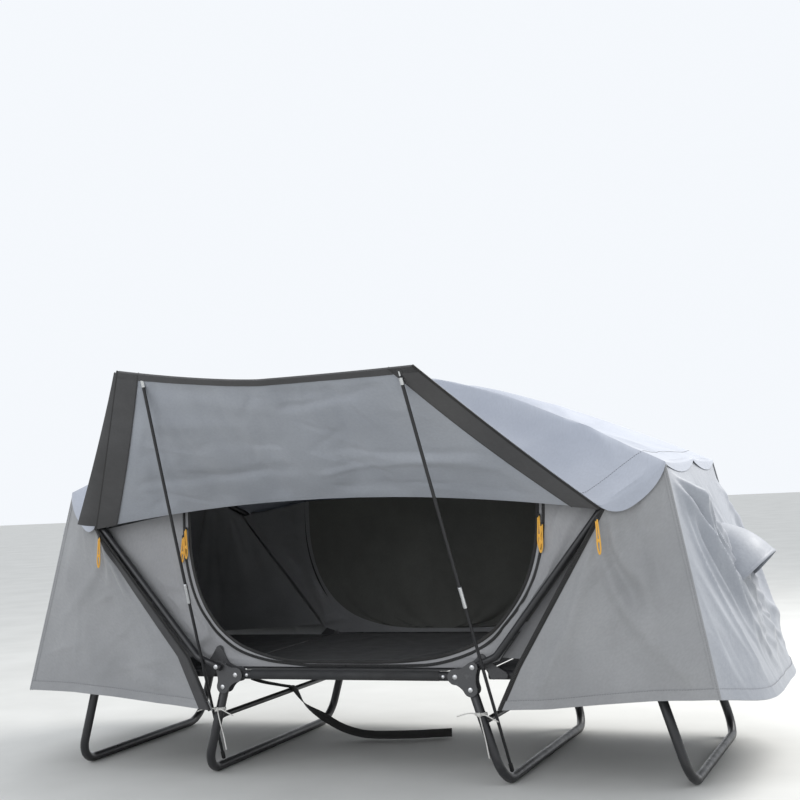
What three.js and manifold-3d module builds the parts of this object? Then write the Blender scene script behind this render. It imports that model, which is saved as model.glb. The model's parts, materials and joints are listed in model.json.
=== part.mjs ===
// Tent cot: a folding bed frame in three sections, with two hoops that carry an inner tent and a rain fly.
// Units are millimetres. +X points to the foot end, +Z is up, and the open door faces -Y.
import * as THREE from 'three';
import { mergeVertices } from 'three/addons/utils/BufferGeometryUtils.js';
import Module from 'manifold-3d';

const wasm = await Module();
wasm.setup();

// Driving dimensions of the steel frame
const frameTube = { radius: 12.5, wall: 1.5, sides: 10 };
const legTube = { radius: 12.5, wall: 1.5, sides: 10 };
const hoopTube = { radius: 9.5, wall: 1.2, sides: 8 };
const crossBarTube = { radius: 8, wall: 1.2, sides: 10 };
const rail = { y: 403, z: 285, halfLength: 335 };
const endFrame = { y: 370.5, start: 400, end: 987.5, bendRadius: 137.5 };
const midLeg = { pivotX: 363, pivotZ: 252, footX: 437, topReach: 14, crossBarZ: 168 };
const endLeg = { pivotX: 820, pivotZ: 280, footX: 903, topReach: 8, y: 344 };
const legBendRadius = 70;
const hoopPivot = { x: 370, z: 310 };
const hoopShape = { kneeX: 430, kneeZ: 335, cornerX: 727, cornerZ: 705, barX: 860, barZ: 800, chamfer: 99 };
const footHoopY = 403;
const headHoopY = 429;
const foldPivotX = 385;
const footFoldPivotZ = 328;
const headFoldPivotZ = 350;
const plate = { thickness: 3, innerY: 387, outerY: 416, foldY: 383.5 };
const shaftRadius = 4;
const boreRadius = 4.4;
const headRadius = 7;
const headThickness = 2.7;
const clearance = 0.3;

// Driving dimensions of the bed cloth, the inner tent and the rain fly
const clothThickness = 2.5;
const deck = { bottomZ: 298, thickness: 3, halfWidth: 380, sleeveHalfWidth: 412, sleeveHalfLength: 275 };
const wall = { y: 377, thickness: 2.5, bottomZ: 303.5, endX: 958, topX: 822, topZ: 755, cornerX: 722,
  cornerZ: 692 };
const flyY = 446;
const roof = { peakZ: 1095, eaveZ: 750, cornerX: 735, cornerZ: 714, endX: 872, endY: 352, endZ: 812 };
const hem = { cornerX: 992, cornerZ: 240, bulgeX: 1085, bulgeY: 260, endX: 1100, endZ: 212, zipX: 446,
  zipZ: 190 };
const awning = { hingeY: 449, hingeZ: 740, hingeCornerZ: 704, hingeX: 728, edgeX: 400, edgeY: 796,
  edgeZ: 1078 };
const awningPole = { radius: 4.5, footX: 437, footY: 330, footZ: 29, tipX: 372, tipY: 782, tipZ: 1050 };
const roofPole = { radius: 4.5, hubX: 12, hubZ: 1076, endX: 836, endY: 286, endZ: 806 };
const vent = { topX: 960, topZ: 622, sideX: 990, sideZ: 520, brimX: 1062, brimZ: 560, halfWidth: 105,
  brimHalf: 80 };
const halfGap = 3;

// The awning reaches further out than the back of the fly, so the origin is shifted to the middle of both.
const centreShiftY = (awning.edgeY - flyY) / 2;

// Finishes
const finish = (color, roughness, metalness = 0) =>
  new THREE.MeshStandardMaterial({ color, roughness, metalness });
const blackSteel = finish(0x242426, 0.42, 0.6);
const darkPlate = finish(0x3a3a3c, 0.5, 0.5);
const brightSteel = finish(0xb9babd, 0.3, 1);
const deckCloth = finish(0x202124, 0.9);
const tentCloth = finish(0x8f9196, 0.85);
const tentLining = finish(0x4a4b4f, 0.9);
const flyCloth = finish(0x9699a1, 0.7);
const roofCloth = finish(0xa9b0c2, 0.6);
const poleSleeve = finish(0x1d1d1f, 0.5);
const webbing = finish(0x19191b, 0.9);

const cot = new THREE.Group();
const tent = new THREE.Group();
const bed = new THREE.Group();
cot.add(bed, tent);
cot.position.y = centreShiftY;

function addPart(group, name, geometry, material) {
  const mesh = new THREE.Mesh(geometry, material);
  mesh.name = name;
  group.add(mesh);
}

const at = (x, y, z) => new THREE.Vector3(x, y, z);

// ---- Solids by vertices and booleans ----

function signedVolume(vertices, triangles) {
  return triangles.reduce((sum, [a, b, c]) => {
    const cross = vertices[b].clone().cross(vertices[c]);
    return sum + vertices[a].dot(cross) / 6;
  }, 0);
}

function closedGeometry(vertices, triangles) {
  const flipped = signedVolume(vertices, triangles) < 0;
  const geometry = new THREE.BufferGeometry();
  geometry.setAttribute('position', new THREE.Float32BufferAttribute(vertices.flatMap((v) =>
    v.toArray()), 3));
  geometry.setIndex(triangles.flatMap(([a, b, c]) => (flipped ? [a, c, b] : [a, b, c])));
  return geometry;
}

function weld(geometry) {
  const bare = geometry.clone();
  bare.deleteAttribute('normal');
  bare.deleteAttribute('uv');
  return mergeVertices(bare, 1e-4);
}

function toSolid(geometry) {
  const welded = weld(geometry);
  const position = welded.getAttribute('position');
  const vertices = Array.from({ length: position.count }, (_, i) =>
    new THREE.Vector3().fromBufferAttribute(position, i));
  const index = Array.from(welded.getIndex().array);
  const triangles = Array.from({ length: index.length / 3 }, (_, i) => index.slice(3 * i, 3 * i + 3));
  const outward = closedGeometry(vertices, triangles);
  return new wasm.Manifold(new wasm.Mesh({
    numProp: 3,
    vertProperties: new Float32Array(outward.getAttribute('position').array),
    triVerts: new Uint32Array(outward.getIndex().array),
  }));
}

function toGeometry(solid) {
  const mesh = solid.getMesh();
  const geometry = new THREE.BufferGeometry();
  geometry.setAttribute('position', new THREE.BufferAttribute(Float32Array.from(mesh.vertProperties), 3));
  geometry.setIndex(Array.from(mesh.triVerts));
  return geometry;
}

const join = (...geometries) => toGeometry(geometries.map(toSolid).reduce((sum, next) => sum.add(next)));
const cut = (geometry, cutters) => toGeometry(cutters.map(toSolid).reduce((left, tool) =>
  left.subtract(tool), toSolid(geometry)));

// ---- Tubes, pins, plates and cloth panels ----

// A path whose stations are exactly the given points, so bends get as many sections as they need.
class StationPath extends THREE.Curve {
  constructor(stations) {
    super();
    this.stations = stations;
  }

  getPoint(t) {
    const last = this.stations.length - 1;
    const index = Math.min(Math.floor(t * last), last - 1);
    return this.stations[index].clone().lerp(this.stations[index + 1], t * last - index);
  }

  getUtoTmapping(u) {
    return u;
  }
}

function bendPoints(before, corner, after, radius, steps) {
  const incoming = corner.clone().sub(before).normalize();
  const outgoing = after.clone().sub(corner).normalize();
  const turn = incoming.angleTo(outgoing);
  const start = corner.clone().addScaledVector(incoming, -radius * Math.tan(turn / 2));
  const inward = outgoing.clone().addScaledVector(incoming, -Math.cos(turn)).normalize();
  const centre = start.clone().addScaledVector(inward, radius);
  return Array.from({ length: steps + 1 }, (_, i) => {
    const angle = (turn * i) / steps;
    return centre.clone().addScaledVector(inward, -radius * Math.cos(angle)).addScaledVector(incoming,
      radius * Math.sin(angle));
  });
}

function bentPath(corners, radii, steps = 4) {
  const inner = corners.slice(1, -1).flatMap((corner, i) =>
    bendPoints(corners[i], corner, corners[i + 2], radii[i], steps));
  return [corners[0], ...inner, corners.at(-1)];
}

function circle(radius, sides) {
  return Array.from({ length: sides }, (_, i) => {
    const angle = (2 * Math.PI * i) / sides;
    return new THREE.Vector2(radius * Math.cos(angle), radius * Math.sin(angle));
  });
}

function tube(stations, { radius, wall: thickness = 0, sides }) {
  const section = new THREE.Shape(circle(radius, sides));
  if (thickness > 0) section.holes.push(new THREE.Path(circle(radius - thickness, sides).reverse()));
  return new THREE.ExtrudeGeometry(section, {
    steps: stations.length - 1,
    bevelEnabled: false,
    extrudePath: new StationPath(stations),
  });
}

function crossCylinder(x, z, radius, yFrom, yTo, sides = 8) {
  const cylinder = new THREE.CylinderGeometry(radius, radius, Math.abs(yTo - yFrom), sides);
  return cylinder.translate(x, (yFrom + yTo) / 2, z);
}

// A headed pin along Y: the shaft runs between two heads that stand outside yFrom and yTo.
function headedPin(x, z, yFrom, yTo) {
  const low = Math.min(yFrom, yTo);
  const high = Math.max(yFrom, yTo);
  const profile = [
    [0, low - headThickness], [headRadius, low - headThickness], [headRadius, low], [shaftRadius, low],
    [shaftRadius, high], [headRadius, high], [headRadius, high + headThickness], [0, high + headThickness],
  ].map(([r, y]) => new THREE.Vector2(r, y));
  return new THREE.LatheGeometry(profile, 8).translate(x, 0, z);
}

function plateXZ(points, yFrom, yTo) {
  const outline = new THREE.Shape(points.map(([x, z]) => new THREE.Vector2(x, z)));
  const geometry = new THREE.ExtrudeGeometry(outline,
    { depth: Math.abs(yTo - yFrom), bevelEnabled: false });
  return geometry.rotateX(Math.PI / 2).translate(0, Math.max(yFrom, yTo), 0);
}

function hullOutline(points) {
  const sorted = [...points].sort((a, b) => a[0] - b[0] || a[1] - b[1]);
  const turns = (o, a, b) => (a[0] - o[0]) * (b[1] - o[1]) - (a[1] - o[1]) * (b[0] - o[0]);
  const chain = (list) => {
    const kept = [];
    for (const point of list) {
      while (kept.length > 1 && turns(kept.at(-2), kept.at(-1), point) <= 0) kept.pop();
      kept.push(point);
    }
    return kept.slice(0, -1);
  };
  return [...chain(sorted), ...chain(sorted.reverse())];
}

// A steel plate with rounded lobes: each link is the outline round two or more lobes given as [x, z,
// radius].
function lobedPlate(links, yFrom, yTo) {
  const pieces = links.map((lobes) => {
    const rim = lobes.flatMap(([x, z, radius]) => circle(radius, 12).map((p) => [x + p.x, z + p.y]));
    return plateXZ(hullOutline(rim), yFrom, yTo);
  });
  return join(...pieces);
}

// A thin cloth panel: a fan of facets from the first corner, given its thickness along one direction.
function clothPanel(corners, thicknessDirection) {
  const count = corners.length;
  const offset = thicknessDirection.clone().setLength(clothThickness);
  const vertices = [...corners, ...corners.map((corner) => corner.clone().add(offset))];
  const triangles = [];
  for (let i = 1; i < count - 1; i += 1) {
    triangles.push([0, i, i + 1], [count, count + i + 1, count + i]);
  }
  for (let i = 0; i < count; i += 1) {
    const next = (i + 1) % count;
    triangles.push([i, count + i, next], [next, count + i, count + next]);
  }
  return closedGeometry(vertices, triangles);
}

// A flat strap through the given points, its width along the given direction.
function ribbon(stations, width, thickness) {
  const points = stations.map((station) => station.point);
  const vertices = stations.flatMap(({ point, acrossDirection }, i) => {
    const before = points[Math.max(i - 1, 0)];
    const after = points[Math.min(i + 1, points.length - 1)];
    const tangent = after.clone().sub(before).normalize();
    const across = acrossDirection.clone().setLength(width / 2);
    const out = across.clone().cross(tangent).setLength(thickness / 2);
    return [
      point.clone().sub(across).sub(out), point.clone().add(across).sub(out),
      point.clone().add(across).add(out), point.clone().sub(across).add(out),
    ];
  });
  const triangles = [];
  for (let i = 0; i < points.length - 1; i += 1) {
    for (let k = 0; k < 4; k += 1) {
      const [a, b] = [4 * i + k, 4 * i + ((k + 1) % 4)];
      triangles.push([a, b, a + 4], [b, b + 4, a + 4]);
    }
  }
  const end = 4 * (points.length - 1);
  triangles.push([0, 2, 1], [0, 3, 2], [end, end + 1, end + 2], [end, end + 2, end + 3]);
  return closedGeometry(vertices, triangles);
}

// ---- Steel frame ----

const ends = [
  { name: 'foot', sign: 1, hoopY: footHoopY, foldPivotZ: footFoldPivotZ, midLegName: 'c', endLegName: 'd' },
  { name: 'head', sign: -1, hoopY: headHoopY, foldPivotZ: headFoldPivotZ, midLegName: 'b',
    endLegName: 'a' },
];
const sides = [{ name: 'near', sign: -1 }, { name: 'far', sign: 1 }];

const railRivetX = 322;
const snapRivetX = 288;

function middleRail(side) {
  const railY = side * rail.y;
  const body = tube([at(-rail.halfLength, railY, rail.z), at(rail.halfLength, railY, rail.z)], frameTube);
  const outerFace = rail.y + frameTube.radius;
  const bores = [-1, 1].map((s) => crossCylinder(s * railRivetX, rail.z, boreRadius, side * 385,
    side * 421));
  const snaps = [-1, 1].map((s) => crossCylinder(s * snapRivetX, rail.z, 5, side * (outerFace - 1.4),
    side * (outerFace + 2.2)));
  return join(cut(body, bores), ...snaps);
}

// Two lobed plates held apart by the rail rivet, whose heads stand outside both.
function hingeBracket(end, side) {
  const lobe = (x, z, radius) => [end.sign * x, z, radius];
  const railLobe = lobe(railRivetX, rail.z, 21);
  const legLobe = lobe(midLeg.pivotX, midLeg.pivotZ, 19);
  const hoopLobe = lobe(hoopPivot.x, hoopPivot.z, 15);
  const foldLobe = lobe(foldPivotX, end.foldPivotZ, 13);
  const outer = lobedPlate([[railLobe, legLobe], [legLobe, hoopLobe], [hoopLobe, railLobe]],
    side * plate.outerY, side * (plate.outerY + plate.thickness));
  const inner = lobedPlate([[railLobe, legLobe], [legLobe, hoopLobe], [hoopLobe, foldLobe],
    [foldLobe, railLobe]],
    side * plate.innerY, side * (plate.innerY + plate.thickness));
  const x = end.sign * railRivetX;
  const lowY = plate.innerY - headThickness;
  const highY = plate.outerY + plate.thickness + headThickness;
  const rivet = [
    crossCylinder(x, rail.z, shaftRadius, side * (lowY + 1), side * (highY - 1)),
    crossCylinder(x, rail.z, headRadius, side * lowY, side * (plate.innerY + 1)),
    crossCylinder(x, rail.z, headRadius, side * (highY - headThickness - 1), side * highY),
  ];
  const bore = (px, pz) => crossCylinder(end.sign * px, pz, boreRadius, side * 380, side * 425);
  const bored = cut(join(outer, inner), [
    bore(midLeg.pivotX, midLeg.pivotZ),
    bore(hoopPivot.x, hoopPivot.z),
    crossCylinder(end.sign * foldPivotX, end.foldPivotZ, boreRadius, side * 380, side * 392),
  ]);
  return join(bored, ...rivet);
}

function uLeg({ pivotX, pivotZ, footX, topReach }, legY, sign) {
  const foot = at(sign * footX, 0, legTube.radius);
  const pivot = at(sign * pivotX, 0, pivotZ);
  const up = pivot.clone().sub(foot).normalize();
  const top = pivot.clone().addScaledVector(up, topReach);
  const onSide = (point, y) => at(point.x, y, point.z);
  const corners = [onSide(top, -legY), onSide(foot, -legY), onSide(foot, legY), onSide(top, legY)];
  const body = tube(bentPath(corners, [legBendRadius, legBendRadius], 5), legTube);
  return cut(body, [-1, 1].map((s) => crossCylinder(sign * pivotX, pivotZ, boreRadius, s * (legY - 20),
    s * (legY + 20))));
}

function endSectionFrame(sign) {
  const { y, start, end, bendRadius } = endFrame;
  const corners = [at(sign * start, -y, rail.z), at(sign * end, -y, rail.z), at(sign * end, y, rail.z),
    at(sign * start, y, rail.z)];
  const body = tube(bentPath(corners, [bendRadius, bendRadius], 7), frameTube);
  const legBores = [-1, 1].map((s) => crossCylinder(sign * endLeg.pivotX, endLeg.pivotZ, boreRadius,
    s * (y - 20), s * (y + 20)));
  const plateBores = foldRivetX.flatMap((x) =>
    [-1, 1].map((s) => crossCylinder(sign * x, rail.z, 3.4, s * y, s * (y + 20))));
  return cut(body, [...legBores, ...plateBores]);
}

const foldRivetX = [416, 444];

// The swan-neck plate that carries an end section's rail on its raised pivot, with its rivets and its
// pivot pin.
function foldPlate(end, side) {
  const inner = plate.foldY;
  const outer = plate.foldY + plate.thickness - 0.2;
  const lobes = [[end.sign * foldPivotX, end.foldPivotZ, 13],
    ...foldRivetX.map((x) => [end.sign * x, rail.z, 11])];
  const sheet = lobedPlate([lobes.slice(0, 2), lobes.slice(1)], side * inner, side * outer);
  const rivets = foldRivetX.map((x) => crossCylinder(end.sign * x, rail.z, 3, side * (endFrame.y + 4),
    side * (outer - 0.5)));
  const pinX = end.sign * foldPivotX;
  const shaft = crossCylinder(pinX, end.foldPivotZ, shaftRadius, side * (inner + 0.5), side * 392);
  const head = crossCylinder(pinX, end.foldPivotZ, headRadius, side * 390.6, side * 392.8);
  return join(sheet, ...rivets, shaft, head);
}

function hoop(end) {
  const { kneeX, kneeZ, cornerX, cornerZ, barX, barZ, chamfer } = hoopShape;
  const s = end.sign;
  const reach = 12;
  const knee = at(kneeX - hoopPivot.x, 0, kneeZ - hoopPivot.z).normalize();
  const tail = [hoopPivot.x - reach * knee.x, hoopPivot.z - reach * knee.z];
  const profile = [[...tail, end.hoopY], [kneeX, kneeZ, end.hoopY], [cornerX, cornerZ, end.hoopY],
    [barX, barZ, end.hoopY - chamfer]];
  const near = profile.map(([x, z, y]) => at(s * x, -y, z));
  const far = profile.map(([x, z, y]) => at(s * x, y, z)).reverse();
  const radii = [40, 55, 45];
  const body = tube(bentPath([...near, ...far], [...radii, ...radii.toReversed()], 4), hoopTube);
  return cut(body, [-1, 1].map((side) =>
    crossCylinder(s * hoopPivot.x, hoopPivot.z, boreRadius, side * (end.hoopY - 15),
      side * (end.hoopY + 15))));
}

for (const side of sides) {
  addPart(bed, `middle_rail_${side.name}`, middleRail(side.sign), blackSteel);
}

for (const end of ends) {
  const { name, sign } = end;
  addPart(bed, `section_frame_${name}`, endSectionFrame(sign), blackSteel);
  addPart(bed, `leg_${end.midLegName}`, uLeg(midLeg, rail.y, sign), blackSteel);
  addPart(bed, `leg_${end.endLegName}`, uLeg(endLeg, endLeg.y, sign), blackSteel);
  const barDrop = (midLeg.pivotZ - midLeg.crossBarZ) / (midLeg.pivotZ - legTube.radius);
  const barX = midLeg.pivotX + (midLeg.footX - midLeg.pivotX) * barDrop;
  const barReach = rail.y - legTube.radius - clearance;
  const barEnds = [at(sign * barX, -barReach, midLeg.crossBarZ),
    at(sign * barX, barReach, midLeg.crossBarZ)];
  addPart(bed, `leg_cross_bar_${end.midLegName}`, tube(barEnds, crossBarTube), blackSteel);
  addPart(tent, `hoop_${name}`, hoop(end), blackSteel);
  for (const side of sides) {
    const tag = `${name}_${side.name}`;
    const s = side.sign;
    const outside = plate.outerY + plate.thickness + clearance;
    const hoopPinOuter = Math.max(outside, end.hoopY + hoopTube.radius + clearance);
    addPart(bed, `hinge_bracket_${tag}`, hingeBracket(end, s), darkPlate);
    addPart(bed, `fold_plate_${tag}`, foldPlate(end, s), darkPlate);
    addPart(tent, `hoop_pin_${tag}`,
      headedPin(sign * hoopPivot.x, hoopPivot.z, s * (plate.innerY - clearance), s * hoopPinOuter),
        brightSteel);
    addPart(bed, `leg_${end.midLegName}_pin_${side.name}`,
      headedPin(sign * midLeg.pivotX, midLeg.pivotZ, s * (plate.innerY - clearance), s * outside),
        brightSteel);
    addPart(bed, `leg_${end.endLegName}_pin_${side.name}`,
      headedPin(sign * endLeg.pivotX, endLeg.pivotZ, s * (endLeg.y - legTube.radius - clearance),
        s * (plate.foldY + clearance)),
      brightSteel);
  }
}

// ---- Bed cloth ----

function middleDeck() {
  const { bottomZ, thickness, halfWidth, sleeveHalfWidth, sleeveHalfLength } = deck;
  const quarter = [[sleeveHalfLength, sleeveHalfWidth], [sleeveHalfLength, halfWidth],
    [rail.halfLength - 5, halfWidth]];
  const half = [...quarter, ...quarter.map(([x, y]) => [x, -y]).reverse()];
  const outline = [...half, ...half.map(([x, y]) => [-x, -y])];
  const shape = new THREE.Shape(outline.map(([x, y]) => new THREE.Vector2(x, y)));
  return new THREE.ExtrudeGeometry(shape, { depth: thickness, bevelEnabled: false }).translate(0, 0,
    bottomZ);
}

function endDeck(sign) {
  const inset = 12;
  const corner = endFrame.bendRadius;
  const shape = new THREE.Shape();
  const [x0, x1, y1] = [endFrame.start + 6, endFrame.end + inset - 2, endFrame.y + inset - 3];
  const arc = Array.from({ length: 7 }, (_, i) => {
    const angle = (Math.PI / 2) * (i / 6);
    return [x1 - corner + corner * Math.cos(angle), y1 - corner + corner * Math.sin(angle)];
  });
  const outline = [[x0, -y1], ...arc.map(([x, y]) => [x, -y]).reverse(), ...arc, [x0, y1]];
  shape.setFromPoints(outline.map(([x, y]) => new THREE.Vector2(sign * x, y)));
  return new THREE.ExtrudeGeometry(shape, { depth: deck.thickness, bevelEnabled: false }).translate(0, 0,
    deck.bottomZ);
}

addPart(bed, 'deck_middle', middleDeck(), deckCloth);

// ---- Inner tent and rain fly, in two halves that each ride on their own hoop ----

// The open near door is the space inside this arch; each half of the wall has half of it.
const doorArch = [[570, 668], [507, 560], [447, 455], [360, 375], [249, 328]];

function nearWall(sign) {
  const { bottomZ, endX, topX, topZ, cornerX, cornerZ } = wall;
  const outline = [[halfGap, bottomZ], [endX, bottomZ], [topX, topZ], [cornerX, cornerZ], ...doorArch,
    [halfGap, 318]];
  return plateXZ(outline.map(([x, z]) => [sign * x, z]), -wall.y, -wall.y - wall.thickness);
}

function farWall(sign) {
  const { bottomZ, endX, topX, topZ, cornerX, cornerZ } = wall;
  const outline = [[halfGap, bottomZ], [endX, bottomZ], [topX, topZ], [cornerX, cornerZ],
    [halfGap, cornerZ + 25]];
  return plateXZ(outline.map(([x, z]) => [sign * x, z]), wall.y, wall.y + wall.thickness);
}

function endWall(sign) {
  const { bottomZ, endX, topX, topZ, y } = wall;
  const half = y - 4;
  const corners = [at(sign * topX, -half, topZ), at(sign * endX, -half, bottomZ),
    at(sign * endX, half, bottomZ), at(sign * topX, half, topZ)];
  return clothPanel(corners, at(-sign, 0, 0));
}

function roofHalf(sign) {
  const { peakZ, eaveZ, cornerX, cornerZ, endX, endY, endZ } = roof;
  const near = [at(sign * halfGap, -flyY, eaveZ), at(sign * cornerX, -flyY, cornerZ),
    at(sign * endX, -endY, endZ)];
  const far = near.map((p) => at(p.x, -p.y, p.z)).reverse();
  return clothPanel([at(sign * halfGap, 0, peakZ), ...near, ...far], at(0, 0, -1));
}

function flyEnd(sign) {
  const { endY, endZ } = roof;
  const { cornerX, cornerZ, bulgeX, bulgeY, endX } = hem;
  const topX = roof.endX + 2;
  const topZ = endZ - 6;
  const near = [at(sign * topX, -endY + 6, topZ), at(sign * cornerX, -flyY + 6, cornerZ),
    at(sign * bulgeX, -bulgeY, hem.endZ + 2)];
  const far = near.map((p) => at(p.x, -p.y, p.z)).reverse();
  return clothPanel([at(sign * topX, 0, topZ), ...near, at(sign * endX, 0, hem.endZ), ...far],
    at(sign, 0, 0));
}

function flyWing(sign, side) {
  const outer = flyY - 4;
  const corners = [
    at(sign * (roof.cornerX + 2), side * outer, hoopShape.cornerZ),
      at(sign * hem.zipX, side * outer, hem.zipZ),
    at(sign * hem.cornerX, side * outer, hem.cornerZ),
      at(sign * (roof.endX - 4), side * (roof.endY + 1), roof.endZ - 10),
  ];
  return clothPanel(corners, at(0, side, 0));
}

function farDoor(sign) {
  const outer = flyY + 0.5;
  const corners = [
    at(sign * halfGap, outer, awning.hingeZ), at(sign * awning.hingeX, outer, awning.hingeCornerZ - 4),
    at(sign * hem.zipX, outer, hem.zipZ), at(sign * halfGap, outer, hem.zipZ + 8),
  ];
  return clothPanel(corners, at(0, -1, 0));
}

function awningHalf(sign) {
  const { hingeY, hingeZ, hingeCornerZ, hingeX, edgeX, edgeY, edgeZ } = awning;
  const corners = [
    at(sign * halfGap, -hingeY, hingeZ), at(sign * hingeX, -hingeY, hingeCornerZ),
    at(sign * edgeX, -edgeY, edgeZ), at(sign * halfGap, -edgeY, edgeZ),
  ];
  return clothPanel(corners, at(0, 0, -1));
}

function ventHood(sign) {
  const { topX, topZ, sideX, sideZ, brimX, brimZ, halfWidth, brimHalf } = vent;
  const near = [at(sign * sideX, -halfWidth, sideZ), at(sign * brimX, -brimHalf, brimZ)];
  const far = near.map((p) => at(p.x, -p.y, p.z)).reverse();
  return clothPanel([at(sign * topX, 0, topZ), ...near, ...far], at(0, 0, 1));
}

for (const end of ends) {
  const { name, sign } = end;
  addPart(bed, `deck_${name}`, endDeck(sign), deckCloth);
  addPart(tent, `tent_wall_near_${name}`, nearWall(sign), tentCloth);
  addPart(tent, `tent_wall_far_${name}`, farWall(sign), tentLining);
  addPart(tent, `tent_wall_end_${name}`, endWall(sign), tentLining);
  addPart(tent, `fly_roof_${name}`, roofHalf(sign), roofCloth);
  addPart(tent, `fly_end_${name}`, flyEnd(sign), flyCloth);
  addPart(tent, `fly_back_door_${name}`, farDoor(sign), flyCloth);
  addPart(tent, `awning_${name}`, awningHalf(sign), flyCloth);
  addPart(tent, `vent_hood_${name}`, ventHood(sign), flyCloth);
  for (const side of sides) {
    addPart(tent, `fly_wing_${name}_${side.name}`, flyWing(sign, side.sign), flyCloth);
  }
  const pole = awningPole;
  const foot = at(sign * pole.footX, -pole.footY, pole.footZ);
  const tip = at(sign * pole.tipX, -pole.tipY, pole.tipZ);
  addPart(tent, `awning_pole_${name}`, tube([foot, tip], { radius: pole.radius, sides: 8 }), poleSleeve);
  const poleEnd = (y) => at(sign * roofPole.endX, y, roofPole.endZ);
  const hub = at(sign * roofPole.hubX, 0, roofPole.hubZ);
  const archPath = bentPath([poleEnd(-roofPole.endY), hub, poleEnd(roofPole.endY)], [12], 3);
  addPart(tent, `roof_pole_${name}`, tube(archPath, { radius: roofPole.radius, sides: 8 }), poleSleeve);
}

// ---- Carry strap, looped over the head end's leg bar and trailing on the ground on its edge ----

const flatAcross = at(0, -1, 0);
const tiltedAcross = at(0.25, -0.8, 0.5);
const edgeAcross = at(0, -0.35, 0.94);
const strapRoute = [
  [at(-490, -30, 215), flatAcross], [at(-459, -10, 200), flatAcross], [at(-425, 12, 189), flatAcross],
  [at(-402, 24, 183), flatAcross], [at(-389, 32, 179.5), flatAcross], [at(-380.5, 37, 175.8), flatAcross],
  [at(-373, 43, 162), flatAcross], [at(-351, 60, 119), tiltedAcross], [at(-307, 90, 77), edgeAcross],
  [at(-259, 115, 41), edgeAcross], [at(-208, 133, 21), edgeAcross], [at(-165, 139, 15.6), edgeAcross],
  [at(-125, 142, 15.4), edgeAcross], [at(-40, 160, 15.4), edgeAcross], [at(20, 184, 15.4), edgeAcross],
  [at(70, 206, 15.4), edgeAcross],
].map(([point, acrossDirection]) => ({ point, acrossDirection }));
addPart(bed, 'carry_strap', ribbon(strapRoute, 30, 2.5), webbing);

export default cot;
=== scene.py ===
"""Looks of a tent cot: a folding steel bed, an inner tent on two hoops and a rain fly with an awning."""

import json
import logging
import math
from dataclasses import dataclass
from enum import Enum
from typing import Callable, Iterable, Sequence

import bmesh
import bpy
import numpy as np
from mathutils import Matrix, Vector

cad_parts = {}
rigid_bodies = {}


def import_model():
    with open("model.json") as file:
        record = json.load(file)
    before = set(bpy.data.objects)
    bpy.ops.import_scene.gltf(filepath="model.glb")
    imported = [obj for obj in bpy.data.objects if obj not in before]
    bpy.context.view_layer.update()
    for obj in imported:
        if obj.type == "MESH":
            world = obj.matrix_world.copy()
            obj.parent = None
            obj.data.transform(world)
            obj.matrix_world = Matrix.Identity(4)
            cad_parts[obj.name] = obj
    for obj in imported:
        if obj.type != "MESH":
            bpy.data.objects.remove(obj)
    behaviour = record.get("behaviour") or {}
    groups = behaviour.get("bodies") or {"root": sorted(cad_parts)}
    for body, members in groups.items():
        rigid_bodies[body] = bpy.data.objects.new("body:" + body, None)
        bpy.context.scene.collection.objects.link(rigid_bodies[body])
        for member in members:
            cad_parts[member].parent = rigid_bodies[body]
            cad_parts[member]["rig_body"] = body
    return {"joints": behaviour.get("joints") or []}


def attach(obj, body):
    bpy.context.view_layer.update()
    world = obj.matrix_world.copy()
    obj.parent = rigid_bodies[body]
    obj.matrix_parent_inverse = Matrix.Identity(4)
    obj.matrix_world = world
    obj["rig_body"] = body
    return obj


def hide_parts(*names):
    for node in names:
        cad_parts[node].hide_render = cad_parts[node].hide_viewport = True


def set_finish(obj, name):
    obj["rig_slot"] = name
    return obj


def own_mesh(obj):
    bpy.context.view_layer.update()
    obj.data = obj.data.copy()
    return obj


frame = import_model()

LOG = logging.getLogger("tent_cot")
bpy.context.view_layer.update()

JOINTS = {joint["name"]: joint for joint in frame["joints"]}
MIDDLE_Y = JOINTS["tent_fold"]["pos_m"][1]

Grid = np.ndarray
Surface = Callable[[Grid, Grid], Grid]
Path = Sequence[Sequence[float]]


# The cot's main sizes, in metres, with y measured from the bed's long middle plane


@dataclass(frozen=True)
class SteelPlan:
    """Sizes of the steel frame."""

    tube: float = 0.0125
    hoop_tube: float = 0.0095
    bar_tube: float = 0.008
    rail_y: float = 0.403
    rail_z: float = 0.285
    rail_end: float = 0.335
    section_y: float = 0.3705
    section_start: float = 0.400
    section_end: float = 0.9875
    section_bend: float = 0.1375
    leg_bend: float = 0.070
    mid_leg: tuple[float, float, float, float] = (0.363, 0.252, 0.437, 0.014)
    end_leg: tuple[float, float, float, float] = (0.820, 0.280, 0.903, 0.008)
    end_leg_y: float = 0.344
    bar_z: float = 0.168
    hoop_pivot: tuple[float, float] = (0.370, 0.310)
    hoop_knee: tuple[float, float] = (0.430, 0.335)
    hoop_corner: tuple[float, float] = (0.727, 0.705)
    hoop_bar: tuple[float, float] = (0.860, 0.800)
    hoop_chamfer: float = 0.099
    fold_pivot_x: float = 0.385
    rail_rivet_x: float = 0.322
    snap_rivet_x: float = 0.288
    inner_plate: float = 0.387
    outer_plate: float = 0.416
    fold_plate: float = 0.3835
    plate: float = 0.003


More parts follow.
